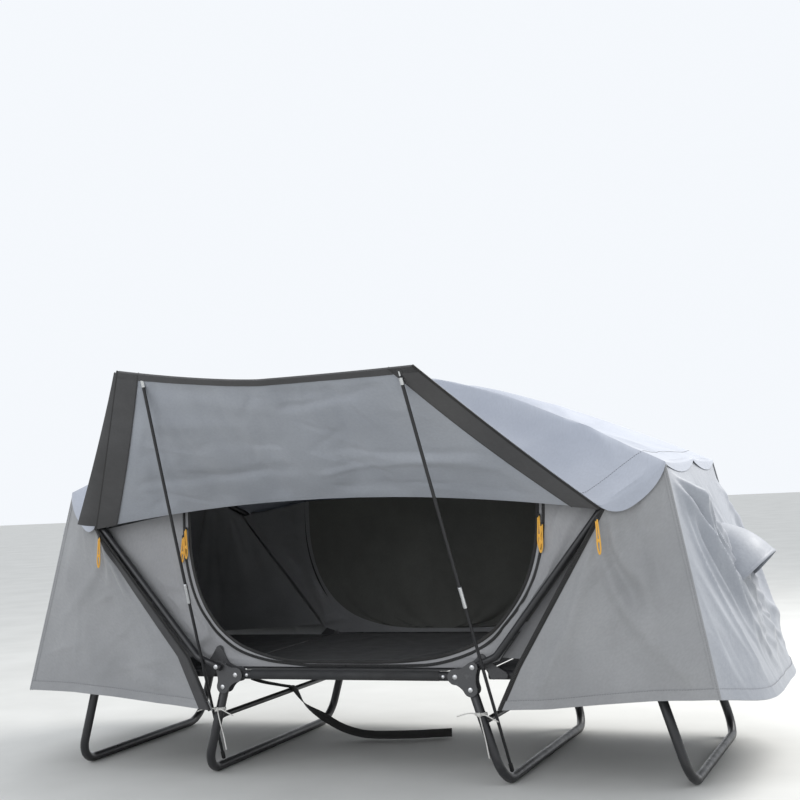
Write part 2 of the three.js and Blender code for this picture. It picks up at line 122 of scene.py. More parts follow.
@dataclass(frozen=True)
class TentPlan:
    """Sizes of the inner tent, the rain fly and its poles."""

    wall_y: float = 0.379
    wall_foot_z: float = 0.3035
    wall_end_x: float = 0.958
    wall_top_x: float = 0.822
    fly_y: float = 0.443
    peak_z: float = 1.095
    eave_middle_z: float = 0.766
    eave_corner: tuple[float, float, float] = (0.735, 0.446, 0.714)
    crown_corner: tuple[float, float, float] = (0.872, 0.352, 0.812)
    hem_corner: tuple[float, float, float] = (0.992, 0.440, 0.240)
    hem_bulge: tuple[float, float, float] = (1.088, 0.260, 0.214)
    hem_end: tuple[float, float] = (1.101, 0.212)
    awning_hinge: tuple[float, float, float] = (0.728, 0.449, 0.704)
    awning_middle_z: float = 0.760
    awning_edge: tuple[float, float, float] = (0.396, 0.795, 1.062)
    pole_foot: tuple[float, float] = (0.437, 0.029)
    deck_z: float = 0.301


STEEL = SteelPlan()
TENT = TentPlan()
CLOTH = 0.0011
SILL_SHARE = 0.44
HEM_SPAN = (0.955, 1.003)
HEM_HALF = 0.0026
FLOOR_REACH = 30.0


@dataclass(frozen=True)
class End:
    """One end of the cot: its name, the way it points and the bodies that move there."""

    name: str
    sign: int
    hoop_y: float
    fold_pivot_z: float
    mid_leg: str
    end_leg: str
    hoop_joint: str
    seed: int
    zip_middle: tuple[float, float]
    zip_foot: tuple[float, float]
    awning_corner_z: float
    pole_foot_y: float
    pole_tip: tuple[float, float, float]
    arch: tuple[tuple[float, float], ...]

    @property
    def hoop_body(self) -> str:
        """The body of this end's hoop, which carries half of the tent."""
        return f"{self.name}_hoop"


FOOT_ARCH = ((0.0, 0.3165), (0.090, 0.3165), (0.175, 0.3200), (0.269, 0.3320), (0.354, 0.3580),
             (0.410, 0.3900), (0.453, 0.4320), (0.490, 0.4790), (0.518, 0.5300), (0.538, 0.5880),
             (0.550, 0.6540), (0.556, 0.7420))
HEAD_ARCH = ((0.0, 0.3165), (0.080, 0.3165), (0.150, 0.3190), (0.231, 0.3310), (0.315, 0.3600),
             (0.374, 0.4020), (0.412, 0.4480), (0.438, 0.4980), (0.455, 0.5550), (0.465, 0.6180),
             (0.466, 0.6800), (0.464, 0.7420))
FOOT = End("foot", 1, 0.403, 0.328, "c", "d", "tent_fold", 11, (0.498, 0.318), (0.441, 0.206), 1.058,
           0.336, (0.362, 0.784, 1.038), FOOT_ARCH)
HEAD = End("head", -1, 0.429, 0.350, "b", "a", "head_hoop_fold", 47, (0.447, 0.335), (0.385, 0.190), 1.106,
           0.306, (0.336, 0.784, 1.084), HEAD_ARCH)
ENDS = (FOOT, HEAD)
SIDES = (("near", -1), ("far", 1))


def place(x: float, y: float, z: float) -> Vector:
    """A point in the row frame from one whose y is measured from the bed's middle plane."""
    return Vector((x, y + MIDDLE_Y, z))


# Finishes


class NodeSheet:
    """A material's node tree, with short helpers to add and join nodes."""

    def __init__(self, name: str) -> None:
        """Starts a material that holds one Principled shader.

        Args:
            name: the material's name.
        """
        self.material = bpy.data.materials.new(name)
        self.material.use_nodes = True
        self.nodes = self.material.node_tree.nodes
        self.links = self.material.node_tree.links
        self.shader = self.nodes["Principled BSDF"]

    def add(self, kind: str, **values: object) -> bpy.types.Node:
        """Adds a node.

        Args:
            kind: the node's type name.
            values: node properties, or socket values where the node has such an input.

        Returns:
            The new node.
        """
        node = self.nodes.new(kind)
        for key, value in values.items():
            if hasattr(node, key):
                setattr(node, key, value)
            else:
                node.inputs[key.replace("_", " ")].default_value = value
        return node

    def join(self, source: bpy.types.NodeSocket, target: bpy.types.NodeSocket) -> None:
        """Links an output socket to an input socket."""
        self.links.new(source, target)

    def place(self, uses_uv: bool) -> bpy.types.NodeSocket:
        """The coordinates that patterns follow: the piece's own UV map in metres, or its Object space."""
        coordinates = self.add("ShaderNodeTexCoord")
        return coordinates.outputs["UV" if uses_uv else "Object"]

    def noise(self, where: bpy.types.NodeSocket, scale: float, detail: float = 3.0) -> bpy.types.NodeSocket:
        """A noise value at a scale per metre."""
        node = self.add("ShaderNodeTexNoise", Scale=scale, Detail=detail)
        self.join(where, node.inputs["Vector"])
        return node.outputs["Fac"]

    def ramp(self, value: bpy.types.NodeSocket, low: tuple, high: tuple,
             start: float = 0.3, end: float = 0.7) -> bpy.types.NodeSocket:
        """A colour between low and high as value goes from start to end."""
        node = self.add("ShaderNodeValToRGB")
        first, last = node.color_ramp.elements
        first.position, last.position = start, end
        first.color, last.color = (*low, 1.0), (*high, 1.0)
        self.join(value, node.inputs["Fac"])
        return node.outputs["Color"]

    def span(self, value: bpy.types.NodeSocket, low: float, high: float) -> bpy.types.NodeSocket:
        """Value, taken from 0.3 to 0.7, mapped to low to high."""
        node = self.add("ShaderNodeMapRange")
        for key, number in (("From Min", 0.3), ("From Max", 0.7), ("To Min", low), ("To Max", high)):
            node.inputs[key].default_value = number
        self.join(value, node.inputs["Value"])
        return node.outputs["Result"]

    def mixed(self, factor: bpy.types.NodeSocket, first: bpy.types.NodeSocket,
              second: tuple, blend: str = "MIX") -> bpy.types.NodeSocket:
        """First colour mixed with a second colour by factor."""
        node = self.add("ShaderNodeMix", data_type="RGBA", blend_type=blend)
        self.join(factor, node.inputs[0])
        self.join(first, node.inputs[6])
        node.inputs[7].default_value = (*second, 1.0)
        return node.outputs[2]

    def bump(self, heights: Iterable[tuple[bpy.types.NodeSocket, float, float]]) -> None:
        """Stacks bump layers on the shader's normal.

        Args:
            heights: (height socket, strength, distance in metres) of each layer.
        """
        normal = None
        for height, strength, distance in heights:
            node = self.add("ShaderNodeBump", Strength=strength, Distance=distance)
            self.join(height, node.inputs["Height"])
            if normal is not None:
                self.join(normal, node.inputs["Normal"])
            normal = node.outputs["Normal"]
        if normal is not None:
            self.join(normal, self.shader.inputs["Normal"])


@dataclass(frozen=True)
class Cloth:
    """A woven cloth: its colours, its coating, its threads and how far it is weathered."""

    name: str
    light: tuple[float, float, float]
    shade: tuple[float, float, float]
    roughness: float = 0.75
    sheen: float = 0.25
    coat: float = 0.0
    thread: float = 0.0011
    crinkle: float = 0.35
    dirt: float = 0.15

    def make(self) -> bpy.types.Material:
        """Builds the cloth's material.

        Returns:
            The material, whose weave follows the piece's UV map in metres.
        """
        sheet = NodeSheet(self.name)
        uv = sheet.place(True)
        space = sheet.place(False)
        warp = sheet.add("ShaderNodeTexWave", wave_type="BANDS", bands_direction="X", Scale=1 / self.thread)
        weft = sheet.add("ShaderNodeTexWave", wave_type="BANDS", bands_direction="Y", Scale=1 / self.thread)
        for wave in (warp, weft):
            wave.inputs["Distortion"].default_value = 0.6
            sheet.join(uv, wave.inputs["Vector"])
        threads = sheet.add("ShaderNodeMath", operation="MULTIPLY")
        sheet.join(warp.outputs["Fac"], threads.inputs[0])
        sheet.join(weft.outputs["Fac"], threads.inputs[1])
        cloud = sheet.noise(space, 5.0, 4.0)
        slubs = sheet.noise(uv, 140.0, 2.0)
        creases = sheet.noise(space, 26.0, 6.0)
        tone = sheet.ramp(cloud, self.shade, self.light, 0.3, 0.68)
        speckle = sheet.span(slubs, 0.0, 0.22)
        tone = sheet.mixed(speckle, tone, tuple(0.72 * part for part in self.shade))
        soil = sheet.span(sheet.noise(space, 2.2, 5.0), 0.0, self.dirt)
        tone = sheet.mixed(soil, tone, (0.09, 0.08, 0.062))
        sheet.join(tone, sheet.shader.inputs["Base Color"])
        sheet.join(sheet.span(creases, self.roughness - 0.08, self.roughness + 0.1),
                   sheet.shader.inputs["Roughness"])
        sheet.shader.inputs["Sheen Weight"].default_value = self.sheen
        sheet.shader.inputs["Sheen Roughness"].default_value = 0.5
        sheet.shader.inputs["Coat Weight"].default_value = self.coat
        sheet.shader.inputs["Coat Roughness"].default_value = 0.42
        sheet.bump([(creases, self.crinkle, 0.004), (threads.outputs[0], 0.12, 0.0004)])
        return sheet.material


@dataclass(frozen=True)
class Metal:
    """A metal or hard finish: its colours, gloss, grain and rubbed patches."""

    name: str
    colour: tuple[float, float, float]
    worn: tuple[float, float, float]
    metallic: float
    roughness: float
    wear: float = 0.12
    grain: float = 300.0
    grain_strength: float = 0.08

    def make(self) -> bpy.types.Material:
        """Builds the finish's material."""
        sheet = NodeSheet(self.name)
        space = sheet.place(False)
        scuffs = sheet.noise(space, 60.0, 8.0)
        grain = sheet.noise(space, self.grain, 2.0)
        rubbed = sheet.add("ShaderNodeMapRange")
        for key, number in (("From Min", 0.62), ("From Max", 0.75), ("To Min", 0.0), ("To Max", self.wear)):
            rubbed.inputs[key].default_value = number
        sheet.join(scuffs, rubbed.inputs["Value"])
        base = sheet.ramp(grain, tuple(0.85 * part for part in self.colour), self.colour)
        sheet.join(sheet.mixed(rubbed.outputs["Result"], base, self.worn), sheet.shader.inputs["Base Color"])
        sheet.join(sheet.span(scuffs, self.roughness - 0.07, self.roughness + 0.12),
                   sheet.shader.inputs["Roughness"])
        sheet.shader.inputs["Metallic"].default_value = self.metallic
        sheet.bump([(grain, self.grain_strength, 0.0004), (scuffs, 0.05, 0.001)])
        return sheet.material


FINISHES: dict[str, Cloth | Metal] = {
    "black_steel": Metal("powder_coated_steel", (0.022, 0.022, 0.024), (0.13, 0.13, 0.13), 0.0, 0.34),
    "plate_steel": Metal("dark_plate", (0.075, 0.075, 0.078), (0.2, 0.2, 0.2), 0.25, 0.42, 0.2),
    "bright_rivet": Metal("zinc_rivet", (0.62, 0.62, 0.63), (0.4, 0.4, 0.4), 1.0, 0.3, 0.3),
    "pole_sleeve": Metal("pole_lacquer", (0.016, 0.016, 0.018), (0.08, 0.08, 0.08), 0.0, 0.36),
    "ferrule": Metal("pole_ferrule", (0.7, 0.71, 0.72), (0.45, 0.45, 0.45), 1.0, 0.28, 0.3),
    "end_cap": Metal("moulded_end_cap", (0.02, 0.02, 0.02), (0.06, 0.06, 0.06), 0.0, 0.6),
    "deck_cloth": Cloth("deck_oxford", (0.017, 0.018, 0.021), (0.011, 0.012, 0.014), 0.72, 0.1,
                        thread=0.0016),
    # The next two finishes are copies of one tent fabric: the first is lightened with painted light for the
    # near walls, the second is darkened with painted shade for the far walls, end walls and side returns.
    "tent_cloth": Cloth("tent_polyester", (0.335, 0.335, 0.345), (0.275, 0.277, 0.287), 0.8, 0.2,
                        crinkle=0.3),
    "tent_lining": Cloth("tent_lining", (0.27, 0.272, 0.28), (0.21, 0.212, 0.22), 0.85, 0.1, crinkle=0.3),
    "door_mesh": Cloth("door_mesh", (0.12, 0.122, 0.112), (0.09, 0.092, 0.085), 0.9, 0.1, thread=0.0022),
    "fly_cloth": Cloth("fly_polyester", (0.315, 0.32, 0.33), (0.255, 0.26, 0.27), 0.72, 0.25, crinkle=0.3),
    "fly_end_cloth": Cloth("fly_end_polyester", (0.36, 0.38, 0.42), (0.28, 0.3, 0.34), 0.55, 0.2, coat=0.15,
                           crinkle=0.6),
    # Partly painted light: the roof's bluish coated fabric is made brighter than the rest of the fly to stand
    # in for its sunlit top.
    "roof_cloth": Cloth("roof_polyester", (0.43, 0.46, 0.53), (0.36, 0.39, 0.46), 0.5, 0.2, coat=0.2,
                        crinkle=0.35),
    # Partly painted light: the awning's bluish fabric is made brighter than the rest of the fly to stand in
    # for light glowing through it from above.
    "awning_cloth": Cloth("awning_polyester", (0.36, 0.38, 0.42), (0.3, 0.32, 0.36), 0.62, 0.2, crinkle=0.3),
    "trim_cloth": Cloth("trim_polyester", (0.06, 0.06, 0.063), (0.042, 0.042, 0.045), 0.8, 0.15),
    "binding": Cloth("edge_binding", (0.014, 0.014, 0.015), (0.01, 0.01, 0.011), 0.8, 0.1, thread=0.0008),
    "zip_teeth": Metal("zip_teeth", (0.018, 0.018, 0.019), (0.05, 0.05, 0.05), 0.0, 0.4),
    "thread": Cloth("sewing_thread", (0.24, 0.245, 0.255), (0.2, 0.2, 0.21), 0.8, 0.1, thread=0.0004),
    "dark_thread": Cloth("dark_thread", (0.04, 0.04, 0.042), (0.03, 0.03, 0.03), 0.8, 0.1, thread=0.0004),
    "pull_cord": Cloth("pull_cord", (0.86, 0.47, 0.06), (0.72, 0.36, 0.04), 0.6, 0.2, thread=0.0006),
    "elastic": Cloth("tie_elastic", (0.72, 0.71, 0.68), (0.6, 0.59, 0.56), 0.75, 0.2, thread=0.0007),
    "webbing": Cloth("strap_webbing", (0.014, 0.014, 0.015), (0.008, 0.008, 0.009), 0.8, 0.2, thread=0.0018),
}


@dataclass
class Wardrobe:
    """Makes each finish once and hands out its material."""

    made: dict[str, bpy.types.Material]

    def get(self, name: str) -> bpy.types.Material:
        """The material of a named finish."""
        if name not in self.made:
            self.made[name] = FINISHES[name].make()
        return self.made[name]


WARDROBE = Wardrobe({})
SLOT_OF = {
    "ferrule": "bright_rivet", "end_cap": "black_steel", "door_mesh": "tent_lining",
    "fly_end_cloth": "fly_cloth",
    "awning_cloth": "fly_cloth", "trim_cloth": "deck_cloth", "binding": "webbing", "zip_teeth": "webbing",
    "thread": "fly_cloth", "dark_thread": "webbing", "pull_cord": "webbing", "elastic": "tent_cloth",
}


# Meshes


def add_object(name: str, data: bpy.types.ID) -> bpy.types.Object:
    """Adds an object with this data to the scene, at the origin."""
    item = bpy.data.objects.new(name, data)
    bpy.context.scene.collection.objects.link(item)
    return item


def make_object(name: str, points: Grid, faces: list, finish: str, body: str,
                uv: Grid | None = None, sharp_degrees: float = 35.0) -> bpy.types.Object:
    """Makes a finished piece that rides on a body.

    Args:
        name: the piece's name.
        points: (n, 3) points in the row frame.
        faces: lists of point numbers.
        finish: the name of its finish.
        body: the CAD body that it rides on.
        uv: one (u, v) in metres for each point, or None.
        sharp_degrees: edges that turn more than this stay sharp.

    Returns:
        The object, at the origin.
    """
    mesh = bpy.data.meshes.new(name)
    mesh.from_pydata([tuple(p) for p in points], [], faces)
    mesh.validate()
    if uv is not None:
        layer = mesh.uv_layers.new(name="cloth")
        corners = np.zeros(len(mesh.loops), np.int32)
        mesh.loops.foreach_get("vertex_index", corners)
        layer.data.foreach_set("uv", np.asarray(uv, np.float32)[corners].ravel())
    mesh.polygons.foreach_set("use_smooth", [True] * len(mesh.polygons))
    mesh.set_sharp_from_angle(angle=math.radians(sharp_degrees))
    mesh.materials.append(WARDROBE.get(finish))
    piece = add_object(name, mesh)
    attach(piece, body)
    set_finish(piece, SLOT_OF.get(finish, finish))
    return piece


def tidy_normals(piece: bpy.types.Object) -> bpy.types.Object:
    """Turns a closed piece's faces outwards."""
    work = bmesh.new()
    work.from_mesh(piece.data)
    bmesh.ops.recalc_face_normals(work, faces=work.faces)
    work.to_mesh(piece.data)
    work.free()
    return piece


def grid_faces(rows: int, columns: int, start: int = 0, flip: bool = False) -> list:
    """Faces of a grid whose points are numbered row by row."""
    faces = []
    for i in range(rows - 1):
        for j in range(columns - 1):
            a = start + i * columns + j
            quad = [a, a + columns, a + columns + 1, a + 1]
            faces.append(quad[::-1] if flip else quad)
    return faces


def rim_loop(rows: int, columns: int) -> list[int]:
    """Point numbers round the edge of a grid."""
    top = list(range(columns))
    right = [i * columns + columns - 1 for i in range(1, rows)]
    bottom = [(rows - 1) * columns + j for j in range(columns - 2, -1, -1)]
    left = [i * columns for i in range(rows - 2, 0, -1)]
    return top + right + bottom + left


def surface_normals(points: Grid) -> Grid:
    """Unit normals of a (rows, columns, 3) grid."""
    along_rows = np.gradient(points, axis=0)
    along_columns = np.gradient(points, axis=1)
    normals = np.cross(along_rows, along_columns)
    return normals / np.maximum(np.linalg.norm(normals, axis=2, keepdims=True), 1e-12)


def run_lengths(points: Grid, axis: int) -> Grid:
    """Distance travelled along an axis of a grid of points, in metres."""
    steps = np.linalg.norm(np.diff(points, axis=axis), axis=2)
    padding = [(0, 0), (0, 0)]
    padding[axis] = (1, 0)
    return np.pad(np.cumsum(steps, axis=axis), padding)


@dataclass
class ClothPanel:
    """A panel of cloth with a real thickness, made from a surface over the unit square."""

    name: str
    surface: Surface
    cells: tuple[int, int]
    finish: str
    body: str
    inside: tuple[float, float, float] = (0.0, 0.0, 0.5)
    out: float = CLOTH / 2
    back: float = CLOTH / 2

    def points(self) -> tuple[Grid, Grid]:
        """The panel's mid surface and its unit normals, which point away from the inside point."""
        u, v = np.meshgrid(np.linspace(0, 1, self.cells[0] + 1), np.linspace(0, 1, self.cells[1] + 1),
                           indexing="ij")
        middle = self.surface(u, v)
        normals = surface_normals(middle)
        away = middle - np.array(self.inside)
        if np.sum(normals * away) < 0:
            normals = -normals
        return middle, normals

    def build(self) -> bpy.types.Object:
        """Builds the closed panel.

        Returns:
            The panel, riding on its body.
        """
        middle, normals = self.points()
        rows, columns = middle.shape[:2]
        shift = np.array([0, MIDDLE_Y, 0])
        outer = middle + normals * self.out + shift
        inner = middle - normals * self.back + shift
        count = rows * columns
        faces = grid_faces(rows, columns) + grid_faces(rows, columns, count, flip=True)
        rim = rim_loop(rows, columns)
        for a, b in zip(rim, rim[1:] + rim[:1]):
            faces.append([a, b, count + b, count + a])
        uv = np.stack([run_lengths(middle, 0), run_lengths(middle, 1)], axis=2).reshape(-1, 2)
        points = np.concatenate([outer.reshape(-1, 3), inner.reshape(-1, 3)])
        piece = make_object(self.name, points, faces, self.finish, self.body, np.concatenate([uv, uv]))
        return tidy_normals(piece)

    def hang(self, held: str, *rests_on: str) -> bpy.types.Object:
        """Args:
            held: how the cloth is held; not used.
            rests_on: the pieces that carry it; not used.

        Returns:
            The panel, riding on its body.
        """
        piece = self.build()
        flat, area = self.cut_size()
        return piece

    def cut_size(self) -> tuple[tuple[float, float], float]:
        """The flat size that the panel is cut from, and its flat area."""
        middle, _ = self.points()
        width = float(run_lengths(middle, 0)[-1].max())
        length = float(run_lengths(middle, 1)[:, -1].max())
        du = middle[1:, :-1] - middle[:-1, :-1]
        dv = middle[:-1, 1:] - middle[:-1, :-1]
        area = float(np.linalg.norm(np.cross(du, dv), axis=2).sum())
        return (width, length), min(area, 0.999 * width * length)


@dataclass
class Ribbon:
    """A flat strip along a path: tape, binding, strap or the path of a row of stitches."""

    name: str
    path: Grid
    across: Grid
    width: float
    thickness: float
    finish: str
    body: str

    def build(self) -> bpy.types.Object:
        """Builds the strip with softly rounded edges.

        Returns:
            The strip, riding on its body.
        """
        path = np.asarray(self.path, float) + np.array([0, MIDDLE_Y, 0])
        across = np.asarray(self.across, float)
        if across.ndim == 1:
            across = np.repeat(across[None], len(path), axis=0)
        tangent = np.gradient(path, axis=0)
        tangent /= np.linalg.norm(tangent, axis=1, keepdims=True)
        across = across - tangent * np.sum(across * tangent, axis=1, keepdims=True)
        across /= np.linalg.norm(across, axis=1, keepdims=True)
        up = np.cross(tangent, across)
        half, thick = self.width / 2, self.thickness / 2
        section = [(-half, 0), (-half + thick, thick), (0, thick), (half - thick, thick),
                   (half, 0), (half - thick, -thick), (0, -thick), (-half + thick, -thick)]
        rings = [path + across * a + up * b for a, b in section]
        points = np.stack(rings, axis=1)
        return make_swept(self.name, points, self.finish, self.body)


def make_swept(name: str, rings: Grid, finish: str, body: str, sharp: float = 50.0) -> bpy.types.Object:
    """A closed piece through rings of points, with flat ends.

    Args:
        name: the piece's name.
        rings: (stations, points round a ring, 3) in the row frame.
        finish: its finish.
        body: the body that it rides on.
        sharp: edges that turn more than this many degrees stay sharp.

    Returns:
        The piece.
    """
    stations, sides = rings.shape[:2]
    faces = []
    for i in range(stations - 1):
        for k in range(sides):
            a, b = i * sides + k, i * sides + (k + 1) % sides
            faces.append([a, b, b + sides, a + sides])
    faces.append(list(range(sides))[::-1])
    faces.append([(stations - 1) * sides + k for k in range(sides)])
    lengths = np.concatenate([[0], np.cumsum(np.linalg.norm(np.diff(rings.mean(1), axis=0), axis=1))])
    girth = np.linalg.norm(rings[0] - np.roll(rings[0], -1, axis=0), axis=1)
    round_ring = np.concatenate([[0], np.cumsum(girth)[:-1]])
    uv = np.stack(np.meshgrid(lengths, round_ring, indexing="ij"), axis=2).reshape(-1, 2)
    piece = make_object(name, rings.reshape(-1, 3), faces, finish, body, uv, sharp)
    return tidy_normals(piece)


def bend_points(before: Vector, corner: Vector, after: Vector, radius: float, steps: int) -> list[Vector]:
    """Points of a round bend of a tube at a corner."""
    incoming = (corner - before).normalized()
    outgoing = (after - corner).normalized()
    turn = incoming.angle(outgoing)
    start = corner - incoming * (radius * math.tan(turn / 2))
    inward = (outgoing - incoming * math.cos(turn)).normalized()
    centre = start + inward * radius
    turns = [turn * i / steps for i in range(steps + 1)]
    return [centre - inward * (radius * math.cos(a)) + incoming * (radius * math.sin(a)) for a in turns]


def bent_path(corners: Sequence[Vector], radii: Sequence[float], steps: int = 10) -> list[Vector]:
    """A path through corners with a round bend at each inner one."""
    path = [corners[0]]
    for i, radius in enumerate(radii, start=1):
        path += bend_points(corners[i - 1], corners[i], corners[i + 1], radius, steps)
    return path + [corners[-1]]


def soft_path(points: Path, steps: int = 6) -> list[Vector]:
    """A smooth path through given points (Catmull-Rom)."""
    spots = [Vector(p) for p in points]
    spots = [spots[0] * 2 - spots[1], *spots, spots[-1] * 2 - spots[-2]]
    path = []
    for a, b, c, d in zip(spots, spots[1:], spots[2:], spots[3:]):
        for i in range(steps):
            t = i / steps
            path.append(0.5 * ((2 * b) + (c - a) * t + (2 * a - 5 * b + 4 * c - d) * t * t
                               + (3 * b - a - 3 * c + d) * t ** 3))
    return path + [spots[-2]]


def round_ring(middle: Vector, side: Vector, other: Vector, radius: float, count: int) -> list[tuple]:
    """Points of a circle round middle, in the plane of two unit directions."""
    turns = [2 * math.pi * k / count for k in range(count)]
    ring = [middle + side * (radius * math.cos(a)) + other * (radius * math.sin(a)) for a in turns]
    return [tuple(p + Vector((0, MIDDLE_Y, 0))) for p in ring]


def tube_rings(path: Sequence[Vector], radius: float | Sequence[float], sides: int) -> Grid:
    """Rings of a round tube along a path, turned as little as they can be."""
    points = [Vector(p) for p in path]
    radii = [radius] * len(points) if isinstance(radius, float) else list(radius)
    tangents = []
    for i in range(len(points)):
        tangents.append((points[min(i + 1, len(points) - 1)] - points[max(i - 1, 0)]).normalized())
    side = tangents[0].orthogonal().normalized()
    rings = []
    for point, tangent, size in zip(points, tangents, radii):
        side = (side - tangent * side.dot(tangent)).normalized()
        other = tangent.cross(side)
        rings.append(round_ring(point, side, other, size, sides))
    return np.array(rings)


def make_tube(name: str, path: Sequence[Vector], radius: float, finish: str, body: str,
              sides: int = 24) -> bpy.types.Object:
    """A round tube with slightly eased ends.

    Args:
        name: the piece's name.
        path: its centre line.
        radius: its outer radius.
        finish: its finish.
        body: the body that it rides on.
        sides: how many sides its section has.

    Returns:
        The tube.
    """
    points = [Vector(p) for p in path]
    ease = min(0.0012, radius * 0.25)
    first = points[0] + (points[1] - points[0]).normalized() * ease
    last = points[-1] + (points[-2] - points[-1]).normalized() * ease
    stations = [points[0], first, *points[1:-1], last, points[-1]]
    radii = [radius - ease, *[radius] * (len(stations) - 2), radius - ease]
    return make_swept(name, tube_rings(stations, radii, sides), finish, body)


def make_turned(name: str, profile: Sequence[tuple[float, float]], axis: Vector, origin: Vector, finish: str,
                body: str, sides: int = 20) -> bpy.types.Object:
    """A turned piece: its profile of (distance along the axis, radius) is spun round the axis."""
    path = [origin + axis.normalized() * along for along, _ in profile]
    direction = axis.normalized()
    side = direction.orthogonal().normalized()
    other = direction.cross(side)
    rings = []
    for point, (_, radius) in zip(path, profile):
        size = max(radius, 0.00005)
        rings.append(round_ring(point, side, other, size, sides))
    return make_swept(name, np.array(rings), finish, body, 30.0)


def join_pieces(name: str, pieces: Sequence[bpy.types.Object]) -> bpy.types.Object:
    """Joins pieces that ride on one body into one."""
    body = pieces[0]["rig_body"]
    slot = pieces[0].get("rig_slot")
    joined = bmesh.new()
    materials: list[bpy.types.Material] = []
    for piece in pieces:
        part = bmesh.new()
        part.from_mesh(piece.data)
        material = piece.data.materials[0]
        if material not in materials:
            materials.append(material)
        for face in part.faces:
            face.material_index = materials.index(material)
        mesh = bpy.data.meshes.new("part")
        part.to_mesh(mesh)
        part.free()
        joined.from_mesh(mesh)
        bpy.data.meshes.remove(mesh)
    for piece in pieces:
        bpy.data.objects.remove(piece)
    mesh = bpy.data.meshes.new(name)
    joined.to_mesh(mesh)
    joined.free()
    for material in materials:
        mesh.materials.append(material)
    whole = add_object(name, mesh)
    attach(whole, body)
    if slot:
        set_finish(whole, slot)
    return whole


# Rows along a path, made by Geometry Nodes


class Bead(Enum):
    """The shape that a row repeats."""

    STITCH = "stitch"
    TOOTH = "tooth"


class RowTree:
    """A Geometry Nodes tree that sets beads at an even pitch along a path."""

    def __init__(self, bead: Bead, pitch: float, size: tuple[float, float, float]) -> None:
        """Builds the tree.

        Args:
            bead: the shape that is repeated.
            pitch: the distance from bead to bead.
            size: a bead's length, width and height.
        """
        self.pitch = pitch
        self.size = size
        self.tree = bpy.data.node_groups.new(f"{bead.value}_row", "GeometryNodeTree")
        face = self.tree.interface
        face.new_socket("Geometry", in_out="INPUT", socket_type="NodeSocketGeometry")
        self.sockets = {}
        for entry, kind in (("Pitch", "Float"), ("Bead Size", "Vector"), ("Finish", "Material")):
            socket = face.new_socket(entry, in_out="INPUT", socket_type=f"NodeSocket{kind}")
            self.sockets[entry] = socket.identifier
        face.new_socket("Geometry", in_out="OUTPUT", socket_type="NodeSocketGeometry")
        add = self.tree.nodes.new
        source = add("NodeGroupInput")
        result = add("NodeGroupOutput")
        curve = add("GeometryNodeMeshToCurve")
        spaced = add("GeometryNodeResampleCurve")
        spaced.mode = "LENGTH"
        if bead is Bead.STITCH:
            shape = add("GeometryNodeMeshUVSphere")
            shape.inputs["Segments"].default_value = 6
            shape.inputs["Rings"].default_value = 4
            shape.inputs["Radius"].default_value = 0.5
        else:
            shape = add("GeometryNodeMeshCube")
            shape.inputs["Size"].default_value = (1.0, 1.0, 1.0)
        tangent = add("GeometryNodeInputTangent")
        facing = add("GeometryNodeInputNamedAttribute")
        facing.data_type = "FLOAT_VECTOR"
        facing.inputs["Name"].default_value = "facing"
        turn = add("FunctionNodeAxesToRotation")
        turn.primary_axis = "X"
        turn.secondary_axis = "Z"
        spread = add("GeometryNodeInstanceOnPoints")
        solid = add("GeometryNodeRealizeInstances")
        paint = add("GeometryNodeSetMaterial")
        joins = (
            (source, "Geometry", curve,
             "Mesh"), (curve, "Curve", spaced, "Curve"), (source, "Pitch", spaced, "Length"),
            (spaced, "Curve", spread,
             "Points"), (shape, "Mesh", spread, "Instance"), (tangent, "Tangent", turn, 0),
            (facing, "Attribute", turn, 1), (turn, "Rotation", spread,
                                             "Rotation"), (source, "Bead Size", spread, "Scale"),
            (spread, "Instances", solid, "Geometry"), (solid, "Geometry", paint, "Geometry"),
            (source, "Finish", paint, "Material"), (paint, "Geometry", result, "Geometry"),
        )
        for origin, output, target, entry in joins:
            self.tree.links.new(origin.outputs[output], target.inputs[entry])

    def run(self, name: str, rows: Sequence[tuple[Grid, Grid]], finish: str, body: str) -> bpy.types.Object:
        """Sets beads along some paths and makes them one plain mesh.

        Args:
            name: the piece's name.
            rows: (path, facing) pairs, each an (n, 3) array; y is from the bed's middle plane.
            finish: the beads' finish.
            body: the body that they ride on.

        Returns:
            The row as a plain mesh.
        """
        points, edges, facings = [], [], []
        for path, facing in rows:
            start = len(points)
            points += [tuple(p) for p in np.asarray(path) + np.array([0, MIDDLE_Y, 0])]
            facings += [tuple(f) for f in np.broadcast_to(facing, np.asarray(path).shape)]
            edges += [(start + i, start + i + 1) for i in range(len(path) - 1)]
        wire = bpy.data.meshes.new(f"{name}_path")
        wire.from_pydata(points, edges, [])
        attribute = wire.attributes.new("facing", "FLOAT_VECTOR", "POINT")
        attribute.data.foreach_set("vector", np.array(facings, np.float32).ravel())
        carrier = add_object(f"{name}_path", wire)
        modifier = carrier.modifiers.new("row", "NODES")
        modifier.node_group = self.tree
        modifier[self.sockets["Pitch"]] = self.pitch
        modifier[self.sockets["Bead Size"]] = self.size
        modifier[self.sockets["Finish"]] = WARDROBE.get(finish)
        bpy.context.view_layer.update()
        evaluated = carrier.evaluated_get(bpy.context.evaluated_depsgraph_get())
        mesh = bpy.data.meshes.new_from_object(evaluated)
        carrier.modifiers.clear()
        bpy.data.objects.remove(carrier)
        mesh.name = name
        mesh.polygons.foreach_set("use_smooth", [True] * len(mesh.polygons))
        mesh.set_sharp_from_angle(angle=math.radians(50))
        piece = add_object(name, mesh)
        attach(piece, body)
        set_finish(piece, SLOT_OF.get(finish, finish))
        return piece


STITCH_ROW = RowTree(Bead.STITCH, 0.0065, (0.0046, 0.0014, 0.0013))
TOOTH_ROW = RowTree(Bead.TOOTH, 0.0042, (0.0022, 0.0056, 0.0022))


# Cloth shapes


